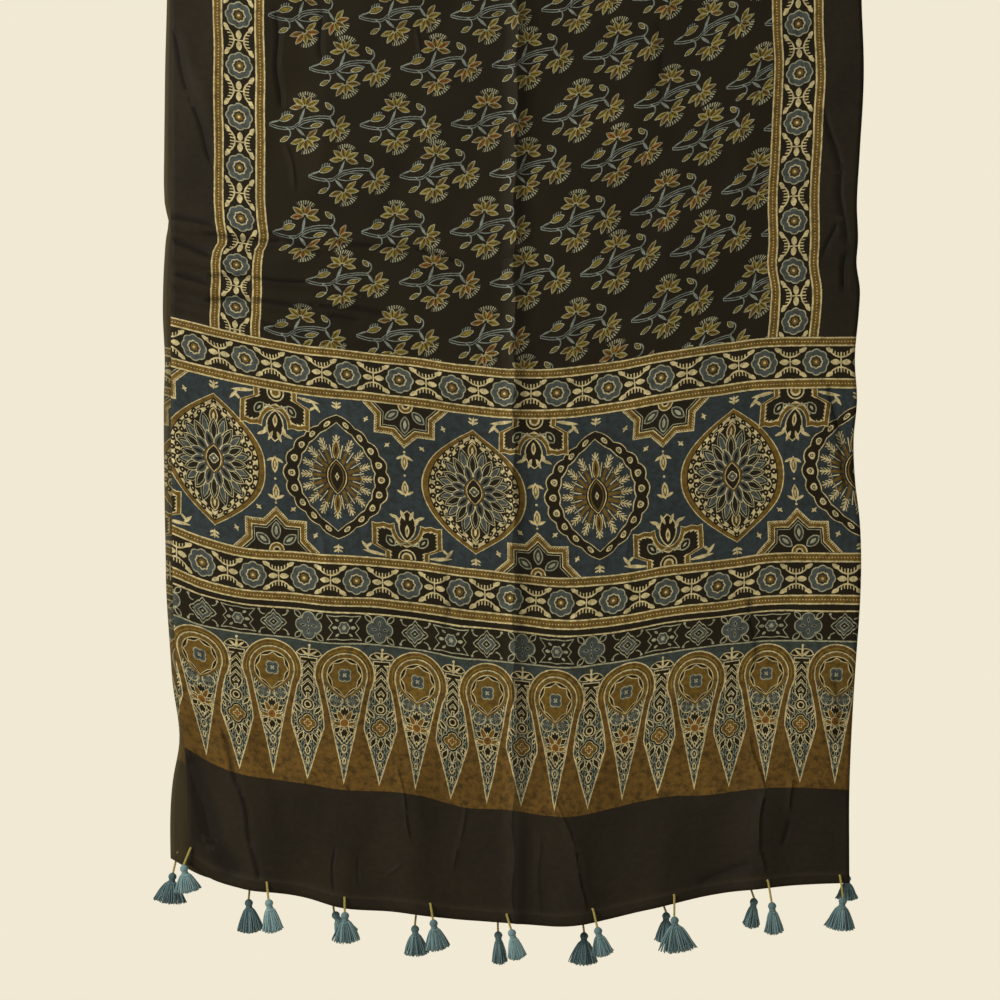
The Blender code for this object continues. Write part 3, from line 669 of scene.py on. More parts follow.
def tassel_head(top, axis, wide, deep):
    """A turned form whose radius is the profile's, times 1 + 0.09 cos of its strands' angle."""
    share = np.linspace(0.0, 1.0, HEAD_RINGS)
    radius = curve_through(HEAD_PROFILE, 1, share)
    angle = 2 * math.pi * np.arange(HEAD_SIDES) / HEAD_SIDES
    ridges = 1.0 + 0.09 * np.cos(HEAD_STRANDS * angle[None, :] + 3.0 * share[:, None])
    out = wide * np.cos(angle)[:, None] + deep * np.sin(angle)[:, None]
    rings = top + axis * (share * HEAD_LENGTH)[:, None, None]
    points = rings + out[None] * (radius[:, None] * ridges)[..., None]
    number = np.arange(HEAD_RINGS * HEAD_SIDES).reshape(HEAD_RINGS, HEAD_SIDES)
    after = np.roll(number, -1, axis=1)
    walls = np.stack((number[:-1], number[1:], after[1:], after[:-1]), axis=-1).reshape(-1, 4)
    caps = []
    for cut in range(1, HEAD_SIDES - 2, 2):
        caps.append(number[0][[0, cut, cut + 1, cut + 2]])
        caps.append(number[-1][[0, cut, cut + 1, cut + 2][::-1]])
    return points.reshape(-1, 3), np.concatenate((walls, np.array(caps)))


def make_tassel(name, number, stitch):
    """Head, neck wrap and threads.

    A thread runs from the neck to the foot: c(t) = top + axis s(t) + out (r0 + (r1 - r0) t^flare),
    with a slow sine wave of its own, and ends a little long or short. The wrap is a helix.
    """
    spread, light = TASSELS[number][7:]
    top, foot = tassel_ends(number, stitch)
    axis = (foot - top) / np.linalg.norm(foot - top)
    deep = np.array((0.0, 1.0, 0.0))
    wide = np.cross(deep, axis)
    chance = np.random.default_rng(100 + number)
    share = np.linspace(0.0, 1.0, THREAD_STEPS)
    angle = 2 * math.pi * (np.arange(THREADS) * GOLDEN_TURN % 1.0)
    ring = np.sqrt((np.arange(THREADS) + 0.5) / THREADS)
    length = np.linalg.norm(foot - top) - HEAD_LENGTH * THREADS_FROM
    long = length * (1.0 + chance.uniform(-0.060, 0.030, THREADS))
    start = NECK_RADIUS * ring
    flare = share ** FLARE
    wave = chance.uniform(0.0002, 0.0009, THREADS)[:, None] * np.sin(
        share[None, :] * chance.uniform(2.0, 6.0, THREADS)[:, None]
        + chance.uniform(0.0, 6.28, THREADS)[:, None]) * share[None, :]
    across = start[:, None] + (spread / 2 * 0.96 * ring - start)[:, None] * flare
    across = across * np.cos(angle)[:, None] + wave
    through = start[:, None] + (SKIRT_DEPTH * ring - start)[:, None] * flare
    through = through * np.sin(angle)[:, None] + wave[::-1] * 0.6
    down = HEAD_LENGTH * THREADS_FROM + long[:, None] * share
    sag = 1.0 - 0.10 * (across / (spread / 2)) ** 2 * share
    paths = top + axis * (down * sag)[..., None] + wide * across[..., None]
    paths = paths + deep * through[..., None]
    radii = THREAD_RADIUS * (1.0 - 0.12 * share ** 3) * chance.uniform(0.8, 1.25, THREADS)[:, None]
    thread_points, thread_faces = tubes(paths, radii, 4)

    turns = np.linspace(0.0, 1.0, WRAP_TURNS * WRAP_STEPS)
    turning = 2 * math.pi * WRAP_TURNS * turns
    helix = top + axis * (HEAD_LENGTH * (WRAP_FROM + WRAP_LONG * turns))[:, None]
    around = wide * np.cos(turning)[:, None] + deep * np.sin(turning)[:, None]
    helix = helix + around * WRAP_OUT
    wrap_points, wrap_faces = tubes(helix[None], np.full((1, len(turns)), WRAP_RADIUS), 8)
    head_points, head_faces = tassel_head(top, axis, wide, deep)

    points = np.concatenate((thread_points, wrap_points, head_points))
    faces = np.concatenate((thread_faces, wrap_faces + len(thread_points),
                            head_faces + len(thread_points) + len(wrap_points)))
    tassel = new_mesh(name, points, faces)
    tone = light + chance.uniform(-0.40, 0.42, THREADS)
    tone = np.repeat(tone, THREAD_STEPS * 4)
    rest = np.full(len(points) - len(tone), light * 0.8)
    add_tone(tassel, "light", np.concatenate((tone, rest)))
    return tassel


def make_tie(name, number, stitch, outward):
    """Two plies, each a helix round the yarn's path out of the hem and down to the head.

    The path's points are joined by straight lines and then evened out three times.
    """
    top, foot = tassel_ends(number, stitch)
    axis = (foot - top) / np.linalg.norm(foot - top)
    face = THIN_HEM / 2 + YARN_RADIUS
    bend = stitch + outward * (face + 0.0003)
    start = stitch - outward * 0.0004
    lower = np.linspace(0.0, 1.0, 8)[1:, None]
    end = top + axis * 0.0008
    side = np.sign(outward[1])
    hang = bend + (end - bend) * lower
    hang[:, 1] += side * np.sin(math.pi * lower[:, 0]) * YARN_RADIUS
    knots = np.concatenate((start[None], stitch[None], bend[None], hang))
    place = np.linspace(0.0, len(knots) - 1.0, TIE_STEPS)
    smooth = np.stack([np.interp(place, np.arange(len(knots)), knots[:, k]) for k in range(3)], 1)
    for _ in range(3):
        smooth[1:-1] = (smooth[:-2] + 2 * smooth[1:-1] + smooth[2:]) / 4
    ahead = np.gradient(smooth, axis=0)
    ahead = ahead / np.linalg.norm(ahead, axis=-1, keepdims=True)
    one = np.cross(ahead, (1.0, 0.0, 0.05))
    one = one / np.linalg.norm(one, axis=-1, keepdims=True)
    two = np.cross(ahead, one)
    gone = np.cumsum(np.linalg.norm(np.gradient(smooth, axis=0), axis=-1))
    plies = []
    for ply in range(2):
        turning = (gone / PLY_TURN * 2 * math.pi + math.pi * ply)[:, None]
        plies.append(smooth + (one * np.cos(turning) + two * np.sin(turning)) * PLY_ASIDE)
    radii = np.full((2, TIE_STEPS), PLY_RADIUS)
    points, faces = tubes(np.array(plies), radii, 8)
    return new_mesh(name, points, faces)


class Value:
    """A socket of a node tree. Its operators add Math nodes, and the point methods vector ones."""

    def __init__(self, socket):
        self.socket = socket

    def node(self, kind, inputs=(), output=0, stops=(), **settings):
        """Adds a node: its settings and a ramp's level stops, then the values or links it takes."""
        tree = self.socket.id_data
        made = tree.nodes.new(kind)
        for name, value in settings.items():
            setattr(made, name, value)
        for number, colour in enumerate(stops):
            made.color_ramp.interpolation = "CONSTANT"
            elements = made.color_ramp.elements
            if number >= len(elements):
                elements.new(1.0)
            elements[number].position = max(0.0, (number - 0.5) / len(stops))
            elements[number].color = colour
        places = inputs.items() if isinstance(inputs, dict) else enumerate(inputs)
        for place, value in places:
            if isinstance(value, Value):
                tree.links.new(value.socket, made.inputs[place])
            else:
                made.inputs[place].default_value = value
        return Value(made.outputs[output])

    def maths(self, operation, *others):
        return self.node("ShaderNodeMath", (self, *others), operation=operation)

    def __add__(self, other):
        return self.maths("ADD", other)

    __radd__ = __add__

    def __sub__(self, other):
        return self.maths("SUBTRACT", other)

    def __rsub__(self, other):
        return self.node("ShaderNodeMath", (other, self), operation="SUBTRACT")

    def __mul__(self, other):
        return self.maths("MULTIPLY", other)

    __rmul__ = __mul__

    def __truediv__(self, other):
        return self.maths("DIVIDE", other)

    def __abs__(self):
        return self.maths("ABSOLUTE")

    def __lt__(self, other):
        return self.maths("LESS_THAN", other)

    def __gt__(self, other):
        return self.maths("GREATER_THAN", other)

    def power(self, other):
        return self.maths("POWER", other)

    def least(self, other):
        return self.maths("MINIMUM", other)

    def most(self, other):
        return self.maths("MAXIMUM", other)

    def wrap(self, pitch):
        """Distance from the nearest whole pitch, from minus half of it to plus half of it."""
        return self.maths("WRAP", pitch / 2, -pitch / 2)

    def fold(self, span):
        """Runs from 0 to span and back."""
        return self.maths("PINGPONG", span)

    def sine(self):
        return self.maths("SINE")

    def cosine(self):
        return self.maths("COSINE")

    def floor(self):
        return self.maths("FLOOR")

    def angle(self, other):
        """Angle whose tangent is this over the other."""
        return self.maths("ARCTAN2", other)

    def near(self, target, half):
        """1 within half of the target, else 0."""
        return self.maths("COMPARE", target, half)

    def over(self, mask, other):
        """This value, with the other laid over it where the mask is 1."""
        return self.node("ShaderNodeMix", {0: mask, 2: self, 3: other})

    def point(self, other):
        """A point from this value and the other."""
        return self.node("ShaderNodeCombineXYZ", (self, other))

    @property
    def x(self):
        return self.node("ShaderNodeSeparateXYZ", (self,))

    @property
    def y(self):
        return self.node("ShaderNodeSeparateXYZ", (self,), output=1)

    def moved(self, x, y, turn=0.0):
        """This point as seen from a place at (x, y), turned by degrees."""
        inputs = (self, (x, y, 0.0), (0.0, 0.0, math.radians(turn)))
        return self.node("ShaderNodeMapping", inputs, vector_type="TEXTURE")

    def folded(self):
        """This point with both of its coordinates made positive."""
        return self.node("ShaderNodeVectorMath", (self,), operation="ABSOLUTE")

    def apart(self, x, y):
        """Distance of this point from (x, y)."""
        return self.node("ShaderNodeVectorMath", (self, (x, y, 0.0)), 1, operation="DISTANCE")

    def added(self, other):
        """This point moved by another vector."""
        return self.node("ShaderNodeVectorMath", (self, other), operation="ADD")

    def scaled(self, factor):
        """This vector times a number."""
        return self.node("ShaderNodeVectorMath", {0: self, 3: factor}, operation="SCALE")

    def chosen(self, mask, other):
        """This point, or the other where the mask is 1."""
        return self.node("ShaderNodeMix", {0: mask, 4: self, 5: other}, 1, data_type="VECTOR")

    def tinted(self, share, other):
        """This colour, mixed with a share of the other."""
        return self.node("ShaderNodeMix", {0: share, 6: self, 7: other}, 2, data_type="RGBA")


# Colours that the cloth takes where it is worn, on its reverse and in the shade of a crease
WORN_COLOUR = (0.16, 0.13, 0.09, 1.0)
REVERSE_COLOUR = (0.085, 0.068, 0.030, 1.0)
SHADE_COLOUR = (0.004, 0.0035, 0.003, 1.0)
CREASE_RELIEF = 0.0012 # metres to a pressed crease of height 1
WEAVE_RELIEF = 0.00006
YARN_PITCH = 0.62      # millimetres

# The print's repeats, in millimetres
MEDALLION_PITCH = 131.25
FINIAL_PITCH = 71.0
SPRIG_PITCH = (91.2, 109.5)
SPRIG_MIDDLE = (43.0, 9.75)          # a cell's middle, from its sprig's base
SPRIG_LATTICES = ((-65.0, -212.0), (-116.0, -154.5))
FIRST_SPRIG = -214.0   # the second lattice starts to the right of this

# The print's colours, by number
BLACK, CREAM, MUSTARD, INDIGO, GREY, TEAL, RUST, OLIVE, SAGE, BROWN, PLAIN, MIST = range(12)


def leaf(p, x, y, turn, long, wide):
    """Depth inside an almond of two arcs: the arc's radius less the distance from its centre."""
    half, tall = long / 2, wide / 2
    radius = (half * half + tall * tall) / (2 * tall)
    return radius - p.moved(x, y, turn).folded().apart(0.0, tall - radius)


def leaves(p, *rows):
    """Depth inside any of several leaves: x, y, turn, length and width of each."""
    depth = leaf(p, *rows[0])
    for row in rows[1:]:
        depth = depth.most(leaf(p, *row))
    return depth


def border_print(p):
    """Flowers and spindles between two dotted guards, measured from the border's middle line."""
    along = (p.x + 9.0).fold(BORDER_PITCH / 2)
    up = abs(p.y)
    flower = along.point(up)
    away = flower.apart(0.0, 0.0)
    lobes = abs((up.angle(along) * 4.0).cosine())
    edge = away - lobes * 1.5
    tint = (edge < 12.1) * SAGE
    tint = tint.over(edge < 10.9, GREY)
    tint = tint.over((away - lobes * 1.0).near(5.6, 0.55), CREAM)
    tint = tint.over(away < 4.6, BLACK)
    tint = tint.over(away < 3.6, MUSTARD)
    tint = tint.over(away < 1.3, CREAM)
    place = (BORDER_PITCH / 2 - along).point(up)
    beside = place.x
    spindle = leaf(place, 5.6, 0.0, 0.0, 9.6, 5.6)
    bar = (beside < 0.6) * (up < 10.0)
    above = up - (beside * beside * 0.045 + 5.0)
    stroke = above.near(0.0, 0.8) * (beside < 11.5)
    teeth = beside.wrap(3.1).near(0.0, 0.55) * above.near(2.2, 2.2) * (beside < 10.0)
    ends = leaf(place, 12.3, 12.2, 33.0, 8.5, 4.2)
    lace = (spindle.most(ends) > 0.0).most(bar).most(stroke).most(teeth)
    tint = tint.over(lace * (edge > 12.8), CREAM)
    tint = tint.over(up > 16.0, CREAM)
    tint = tint.over(up.near(20.9, 3.3), MUSTARD)
    dots = p.x.wrap(3.1).point(up).apart(0.0, 20.9) < 0.6
    tint = tint.over(dots, CREAM)
    return tint.over(up > 25.7, BLACK)


def small_print(p):
    """Three small motifs in turn between two lines, p.y above the lower line."""
    step = 36.0
    count = (p.x / step + 0.5).floor()
    across = p.x - count * step
    framed = (count - 1.0).wrap(3.0).near(0.0, 0.1)
    petalled = (count - 1.0).wrap(6.0).near(0.0, 1.5)
    place = abs(across).point(abs(p.y - 16.2))
    x, y = place.x, place.y
    longer, shorter = x.most(y), x.least(y)
    turned = longer.point(shorter)

    lobe = turned.apart(6.6, 0.0)
    petals = lobe.near(6.6, 0.55) * SAGE
    petals = petals.over(lobe < 6.1, GREY)
    slit = (longer - 5.6).most(5.6 - longer) + shorter * 2.2
    petals = petals.over(slit < 3.3, SAGE)
    petals = petals.over(slit < 2.4, BLACK)
    tips = leaf(place, 11.0, 10.4, 45.0, 9.0, 4.8)
    petals = petals.over((tips > -0.4) * (lobe > 6.8), SAGE)
    petals = petals.over((tips > 0.6) * (lobe > 7.4), BLACK)

    side = 12.2 + abs(y - 4.5) * 0.8 - x
    lid = 11.4 - y + abs(x - 8.0) * 0.10
    rim = side.least(lid)
    rosette = place.apart(0.0, 0.0) - abs((y.angle(x) * 3.0).cosine()) * 1.0
    frame_tint = rim.near(0.5, 0.5) * SAGE
    frame_tint = frame_tint.over(rosette < 5.2, SAGE)
    frame_tint = frame_tint.over(rosette < 4.2, GREY)
    frame_tint = frame_tint.over(rosette < 1.4, SAGE)
    dots = leaves(place, (9.3, 0.0, 0.0, 5.4, 3.2), (7.0, 7.2, 32.0, 4.6, 2.4))
    frame_tint = frame_tint.over(dots > 0.0, SAGE)

    size = x + y * 1.08
    scallop = size - abs((x * 0.55).cosine()) * 1.2
    gem = scallop.near(12.6, 0.75) * SAGE
    gem = gem.over(scallop < 9.4, SAGE)
    gem = gem.over(scallop < 8.2, GREY)
    gem = gem.over(size < 5.2, SAGE)
    gem = gem.over(size < 4.0, BLACK)
    gem = gem.over(size < 1.4, SAGE)
    curl = place.apart(9.6, 11.8).near(4.6, 0.5) * (x > 9.0) * (y < 13.0)
    ball = place.apart(14.6, 12.0) < 1.3
    gem = gem.over(curl.most(ball), SAGE)

    tint = gem.over(petalled, petals).over(framed, frame_tint)
    tint = tint.over(p.y.near(1.0, 0.75), SAGE)
    return tint.over(p.y.near(31.2, 0.8), CREAM)


def ogee(across, up, wide, tall):
    """Depth inside a pointed oval: wide (1 - (up / tall)^2.2)^1.1 less the distance across."""
    return (1.0 - (up / tall).power(2.2)).most(0.0).power(1.1) * wide - across


def layered(tint, depth, *layers):
    """Lays each colour over the drawing where the depth is more than its own."""
    for least, colour in layers:
        tint = tint.over(depth > least, colour)
    return tint


def ringed_medallion(across, up, away, turn, place):
    """Pointed oval with a broad ring, a scroll, two rounds of petals and a small flower."""
    depth = ogee(across, up, 52.5, 65.0)
    rings = (0.0, CREAM), (1.2, MUSTARD), (6.4, BLACK), (7.6, CREAM)
    tint = layered(depth * 0.0 + INDIGO, depth, *rings)
    line = depth.near((turn * 14.0).sine() * 1.5 + 12.8, 0.7)
    curls = (turn.wrap(math.pi / 14) * away).point(depth - 10.2).apart(0.0, 0.0)
    inner = ((turn - math.pi / 28).wrap(math.pi / 14) * away).point(depth - 15.6).apart(0.0, 0.0)
    curl = curls.least(inner)
    tint = tint.over(line.most(curl.near(1.9, 1.1)), BLACK)
    tint = layered(tint, depth - abs((turn * 14.0).cosine()) * 1.4, (17.4, BLACK))
    point = leaf(place, 0.0, 42.5, 90.0, 17.0, 9.0)
    tint = layered(tint, point, (0.0, CREAM), (0.9, MUSTARD), (2.2, BLACK), (3.2, CREAM))
    far = across.point(up * 0.82).apart(0.0, 0.0)
    for middle, wide, spread, shift, layers in (
        (27.0, 5.6, 0.047, 0.5, ((0.0, SAGE), (0.8, BLACK), (2.6, SAGE), (3.3, GREY))),
        (23.0, 5.4, 0.047, 0.0, ((0.0, CREAM), (0.8, BLACK), (2.2, SAGE), (2.9, BLACK))),
        (15.5, 4.6, 0.070, 0.5, ((0.0, CREAM), (0.8, GREY), (3.0, BLACK))),
    ):
        petal = wide - (far - middle) * (far - middle) * spread
        petal = petal - abs((turn - shift * math.pi / 6).wrap(math.pi / 6)) * away
        tint = layered(tint, petal, *layers)
    heart = ogee(across, up, 10.5, 15.5)
    tint = layered(tint, heart, (0.0, BLACK), (0.8, MUSTARD), (2.6, CREAM), (3.4, BLACK))
    flower = 4.0 - away + abs((turn * 2.0).cosine())
    return layered(tint, flower, (0.0, CREAM), (0.9, GREY), (3.6, CREAM))


def plumed_medallion(across, up, away, turn, place):
    """Scalloped oval: a black ring of small flowers, then plumes round a dark heart."""
    scallop = abs((turn * 9.0).cosine()) * 3.2
    depth = ogee(across, up, 52.5, 65.0) + scallop
    tint = layered(depth * 0.0 + INDIGO, depth, (1.4, CREAM), (2.6, BLACK))
    tint = layered(tint, depth - scallop * 1.5, (12.6, CREAM), (13.8, INDIGO))
    flowers = (turn.wrap(math.pi / 9) * away).point(depth - 10.4).apart(0.0, 0.0)
    tint = tint.over(flowers.near(2.7, 0.9).most(flowers < 0.9), CREAM)
    far = across.point(up * 0.84).apart(0.0, 0.0)
    aside = abs(turn.wrap(math.pi / 8)) * away
    frond = (far - aside * 1.3).wrap(3.4).near(0.0, 0.75) * (aside < 3.4) * far.near(29.5, 5.5)
    tint = tint.over(frond.most((aside < 0.8) * far.near(27.0, 9.0)) * (depth > 17.0), CREAM)
    tint = tint.over((2.6 - far * 0.055 > aside) * (far < 25.0), MUSTARD)
    between = abs((turn - math.pi / 16).wrap(math.pi / 8)) * away
    tint = tint.over((between < 0.5) * far.near(22.0, 6.0), CREAM)
    spike = leaf(place, 0.0, 27.0, 90.0, 22.0, 7.4)
    tint = layered(tint, spike, (0.0, CREAM), (0.8, MUSTARD), (2.8, BLACK))
    heart = ogee(across, up, 11.5, 19.5)
    rings = (0.0, BLACK), (1.6, CREAM), (2.6, BLACK), (4.4, MUSTARD), (5.6, BLACK)
    tint = layered(tint, heart, *rings)
    return layered(tint, 2.2 - across - up * 0.5, (0.0, CREAM), (1.2, BLACK))


def half_star(across, height):
    """Half of an eight-pointed star on the band's edge: a square and the same square turned."""
    star = (31.0 - across.most(height)).most((44.0 - across - height) * 0.707)
    hatch = (across - height).wrap(2.6).near(0.0, 0.6) * (star < 2.8)
    tint = layered(star * 0.0 - 1.0, star, (0.0, CREAM), (0.9, MUSTARD))
    tint = tint.over(hatch * (star > 0.9), CREAM)
    tint = layered(tint, star, (6.0, CREAM), (7.0, BLACK), (8.6, SAGE), (9.3, BLACK))
    place = across.point(height)
    drops = leaves(place, (0.0, 19.5, 90.0, 18.0, 9.6), (13.5, 11.0, 38.0, 17.0, 9.6))
    tint = layered(tint, drops, (0.0, SAGE), (0.9, GREY), (2.0, BLACK), (3.1, SAGE))
    rings = (0.0, BLACK), (1.2, CREAM), (2.4, MUSTARD), (5.0, CREAM), (6.6, BLACK)
    return layered(tint, 9.0 - place.apart(0.0, 0.0), *rings)


def bracket(across, below):
    """Cusped bracket that hangs from the band's edge, with a bell-shaped bud in its arch."""
    place = across.point(below)
    arch = (across * 1.32).point(below).apart(0.0, 36.0) - 17.0
    side = (below - 7.0).most(0.0).least(7.0) * 1.93 + 22.0 - across
    shape = side.least(37.0 - below - abs((across - 24.0).wrap(12.0)) * 0.25).least(arch)
    tint = layered(shape * 0.0 - 1.0, shape, (0.0, CREAM), (0.9, MUSTARD), (4.6, CREAM))
    teeth = shape - abs((across - below * 1.3).wrap(4.6)) * 0.8
    tint = layered(tint, teeth, (5.2, BLACK))
    drops = leaf(place, 16.5, 18.5, 51.0, 14.0, 9.0)
    tint = layered(tint, drops, (0.0, SAGE), (1.1, BLACK), (3.4, SAGE))
    tint = tint.over(leaf(place, 6.8, 15.6, -16.0, 14.0, 1.9) > 0.0, SAGE)
    rings = (0.0, CREAM), (1.3, BLACK), (3.4, CREAM), (5.4, MUSTARD)
    tint = layered(tint, 8.8 - place.apart(0.0, 1.5), *rings)
    flare = leaves(place, (33.0, 4.6, 10.0, 25.0, 3.6), (42.0, 11.0, 52.0, 13.0, 3.2),
                   (38.0, 12.5, -38.0, 10.0, 2.8))
    tint = tint.over((flare > 0.0) * (shape < -0.6), CREAM)
    bud = leaf(place, 0.0, 34.5, 90.0, 32.0, 18.0)
    tint = layered(tint, bud, (0.0, CREAM), (1.2, BLACK))
    flames = leaves(place, (0.0, 29.5, 90.0, 13.0, 4.6), (4.4, 45.0, 66.0, 11.0, 3.4),
                    (12.6, 43.0, 24.0, 12.0, 3.2), (9.4, 38.6, 62.0, 9.0, 3.0))
    return layered(tint, flames, (0.0, CREAM), (1.5, MUSTARD))


def medallion_print(p):
    """Two medallions in turn on indigo, with half stars, brackets, buds and sparks between them.

    p.y is measured from the band's lower edge.
    """
    pitch, middle = MEDALLION_PITCH, (UPPER_BORDER - MEDALLIONS_FROM) / 2
    count = ((p.x + 44.0) / pitch + 0.5).floor()
    ringed = count.wrap(2.0).near(0.0, 0.1)
    across = abs(p.x + 47.5 - count * pitch - ringed * 7.0)
    up = abs(p.y - middle)
    place = across.point(up)
    away = place.apart(0.0, 0.0)
    turn = up.angle(across)
    first = ringed_medallion(across, up, away, turn, place)
    tint = plumed_medallion(across, up, away, turn, place).over(ringed, first)
    spark = leaves(place, (0.0, 73.0, 90.0, 9.0, 2.4), (2.6, 71.6, 28.0, 5.6, 2.2),
                   (2.6, 75.2, 28.0, 4.6, 2.0))
    tint = tint.over(spark > 0.0, CREAM)

    halfway = ((p.x - 21.6) / pitch + 0.5).floor()
    beside = abs(p.x - 21.6 - halfway * pitch)
    flip = halfway.wrap(2.0).near(0.0, 0.1) * 2.0 - 1.0
    height = (p.y - middle) * flip + middle
    star = half_star(beside, height)
    tint = tint.over(star > -0.5, star)
    hung = bracket(beside, 2 * middle - height)
    tint = tint.over(hung > -0.5, hung)
    place = beside.point(height)
    buds = leaves(place, (0.0, 58.0, 90.0, 17.0, 7.0), (0.0, 86.0, 90.0, 17.0, 7.0))
    tint = layered(tint, buds, (0.0, CREAM), (1.6, MUSTARD), (2.6, CREAM))
    dots = place.apart(0.0, 72.0).least(place.apart(0.0, 47.5))
    specks = leaves(
        place, (4.6, 53.5, 30.0, 9.0, 2.8), (4.6, 90.5, -30.0, 9.0, 2.8),
        (17.5, 42.0, 40.0, 7.5, 2.3), (17.5, 42.0, -40.0, 5.6, 2.0),
        (39.5, 18.0, 60.0, 7.5, 2.3), (39.5, 18.0, -20.0, 5.6, 2.0))
    return tint.over((specks > 0.0).most(dots < 1.2), CREAM)


def finial_print(p):
    """Round-headed finials and leaf chains in turn, then the plain end strip, from the hem up."""
    pitch = FINIAL_PITCH
    y = p.y
    across = abs((p.x + 28.0).wrap(pitch))
    beside = pitch / 2 - across
    head = across.point(y - 224.0)
    ring = head.apart(0.0, 0.0)
    rise = y - 172.0
    chain = 16.6 - rise.most(0.0).power(1.5) * 0.0250 + rise.least(0.0) * 0.30 - beside
    upper = (ring - 28.3).least(chain + (y > 224.0) * 99.0)
    tint = upper * 0.0 + BROWN

    lower = (y - 117.0) * 0.213 - across
    body = (22.6 - ring).most(lower.least(221.0 - y))
    tint = layered(tint, body, (0.0, CREAM), (1.1, TEAL))
    cell = (across - 2.4).wrap(4.8).point((y - 1.5).wrap(6.6))
    fill = leaf(cell, 0.0, 0.0, 90.0, 6.0, 3.6).least(body - 1.3)
    tint = layered(tint, fill, (0.0, SAGE), (0.6, BLACK))
    place = across.point(y)
    slope = (y - across * 1.3).wrap(5.0)
    shown = (body > 1.7) * y.near(165.5, 8.0)
    tint = tint.over(slope.near(0.0, 0.6) * shown, CREAM)
    tint = tint.over(slope.near(2.2, 0.7) * shown, BLACK)
    pair = place.moved(8.4, 199.8)
    away = pair.apart(0.0, 0.0)
    tint = layered(tint, 6.6 - away, (0.0, CREAM), (0.9, GREY))
    blades = (pair.y.angle(pair.x) * 4.0 + 0.8).sine() * 0.9 - abs(away - 2.6) * 0.30
    tint = layered(tint, blades, (0.0, SAGE), (0.45, BLACK))
    sprays = leaves(place, (14.8, 212.0, -66.0, 12.0, 4.0), (0.0, 190.5, 90.0, 9.0, 4.4))
    flower = across.point(y - 178.0)
    away = flower.apart(0.0, 0.0)
    turn = (y - 178.0).angle(across)
    drops = 3.3 - abs(away - 10.2) * 0.55 - abs((turn + 0.05).wrap(math.pi / 4.4)) * away
    tint = layered(tint, sprays.most(drops).least(body - 1.3), (0.0, CREAM), (0.9, BLACK))
    wings = leaves(place, (3.8, 184.0, 62.0, 15.0, 5.4), (6.4, 177.0, 14.0, 10.0, 4.6))
    tint = layered(tint, wings, (0.0, CREAM), (0.7, MUSTARD), (1.9, RUST))
    tint = layered(tint, 4.4 - away, (0.0, CREAM), (0.7, RUST), (3.0, MUSTARD))
    seeds = leaves(place, (0.0, 152.5, 90.0, 9.0, 6.0), (0.0, 140.5, 90.0, 8.0, 3.6))
    tint = layered(tint, seeds, (0.0, CREAM), (1.0, BLACK), (2.2, SAGE))

    bowl = (21.0 - ring).over(y < 224.0, ogee(across, 224.0 - y, 21.0, 23.5))
    tint = layered(tint, bowl, (0.0, MUSTARD), (3.4, CREAM), (4.3, BLACK))
    turn = (y - 224.0).angle(across)
    cusps = bowl - abs((turn * 4.0).sine()) * 2.4
    tint = layered(tint, cusps, (4.6, CREAM), (5.6, MUSTARD))
    star = ring - abs((turn * 2.0).sine()) * 2.0
    tint = layered(tint, 5.6 - star, (0.0, SAGE), (1.1, GREY), (3.6, INDIGO), (5.0, SAGE))
    gold = ring.near(25.0, 0.45) * (y > 219.0)
    tint = tint.over(gold, OLIVE)

    tint = tint.over(upper > 0.0, TEAL)
    cell = (beside - 2.4).wrap(4.8).point((y + beside * 0.6).wrap(6.6))
    fill = leaf(cell, 0.0, 0.0, 90.0, 6.0, 3.6).least(upper - 1.4).least(233.0 - y)
    tint = layered(tint, fill, (0.0, SAGE), (0.6, BLACK))
    place = beside.point(y)
    away = place.apart(0.0, 174.0)
    turn = (y - 174.0).angle(beside)
    side = leaves(place, (9.5, 188.0, 48.0, 12.0, 4.6), (3.6, 204.5, 66.0, 13.0, 4.4),
                  (12.6, 181.5, 62.0, 8.0, 3.4), (12.0, 166.0, -60.0, 9.0, 4.0))
    rays = 3.2 - abs(away - 16.0) * 0.42 - abs((turn + math.pi / 2).wrap(0.46)) * away
    side = side.most(rays.least(167.0 - y))
    arch = 6.2 - place.apart(0.0, 192.5)
    side = side.most(arch.least(y - 187.0))
    arrows = 2.9 - abs((y + beside * 1.1 + 1.5).wrap(7.4))
    side = side.most(arrows.least(y - 203.0).least(238.0 - y).least(6.2 - beside))
    cup = (beside * -0.9 + 7.6).least(239.5 - y).least((y - 234.4) * 0.8)
    arrow = leaf(place, 5.4, 244.6, -14.0, 14.5, 7.4)
    side = side.most(cup).most(arrow).least(upper - 1.3)
    tint = layered(tint, side, (0.0, CREAM), (0.9, BLACK))
    tint = tint.over(arch.near(3.2, 0.6) * (y > 188.6), CREAM)
    twig = leaves(place, (3.8, 243.6, 38.0, 10.0, 2.2), (0.0, 245.5, 90.0, 13.0, 2.2))
    tint = tint.over((twig > 0.0).most(place.apart(0.0, 251.4) < 1.3), CREAM)
    quad = away - abs((turn * 2.0).cosine()) * 2.2
    rings = (0.0, SAGE), (0.7, BLACK), (2.4, CREAM), (3.0, MUSTARD), (6.6, CREAM), (7.4, RUST)
    tint = layered(tint, 8.6 - quad, *rings)
    seeds = leaves(place, (0.0, 146.0, 90.0, 9.0, 5.4), (0.0, 136.0, 90.0, 8.0, 3.4))
    tint = layered(tint, seeds, (0.0, CREAM), (1.0, BLACK), (2.2, SAGE))
    tint = tint.over(upper.near(0.6, 0.6) * (y < 254.2), CREAM)
    return tint.over(y < END_STRIP, PLAIN)


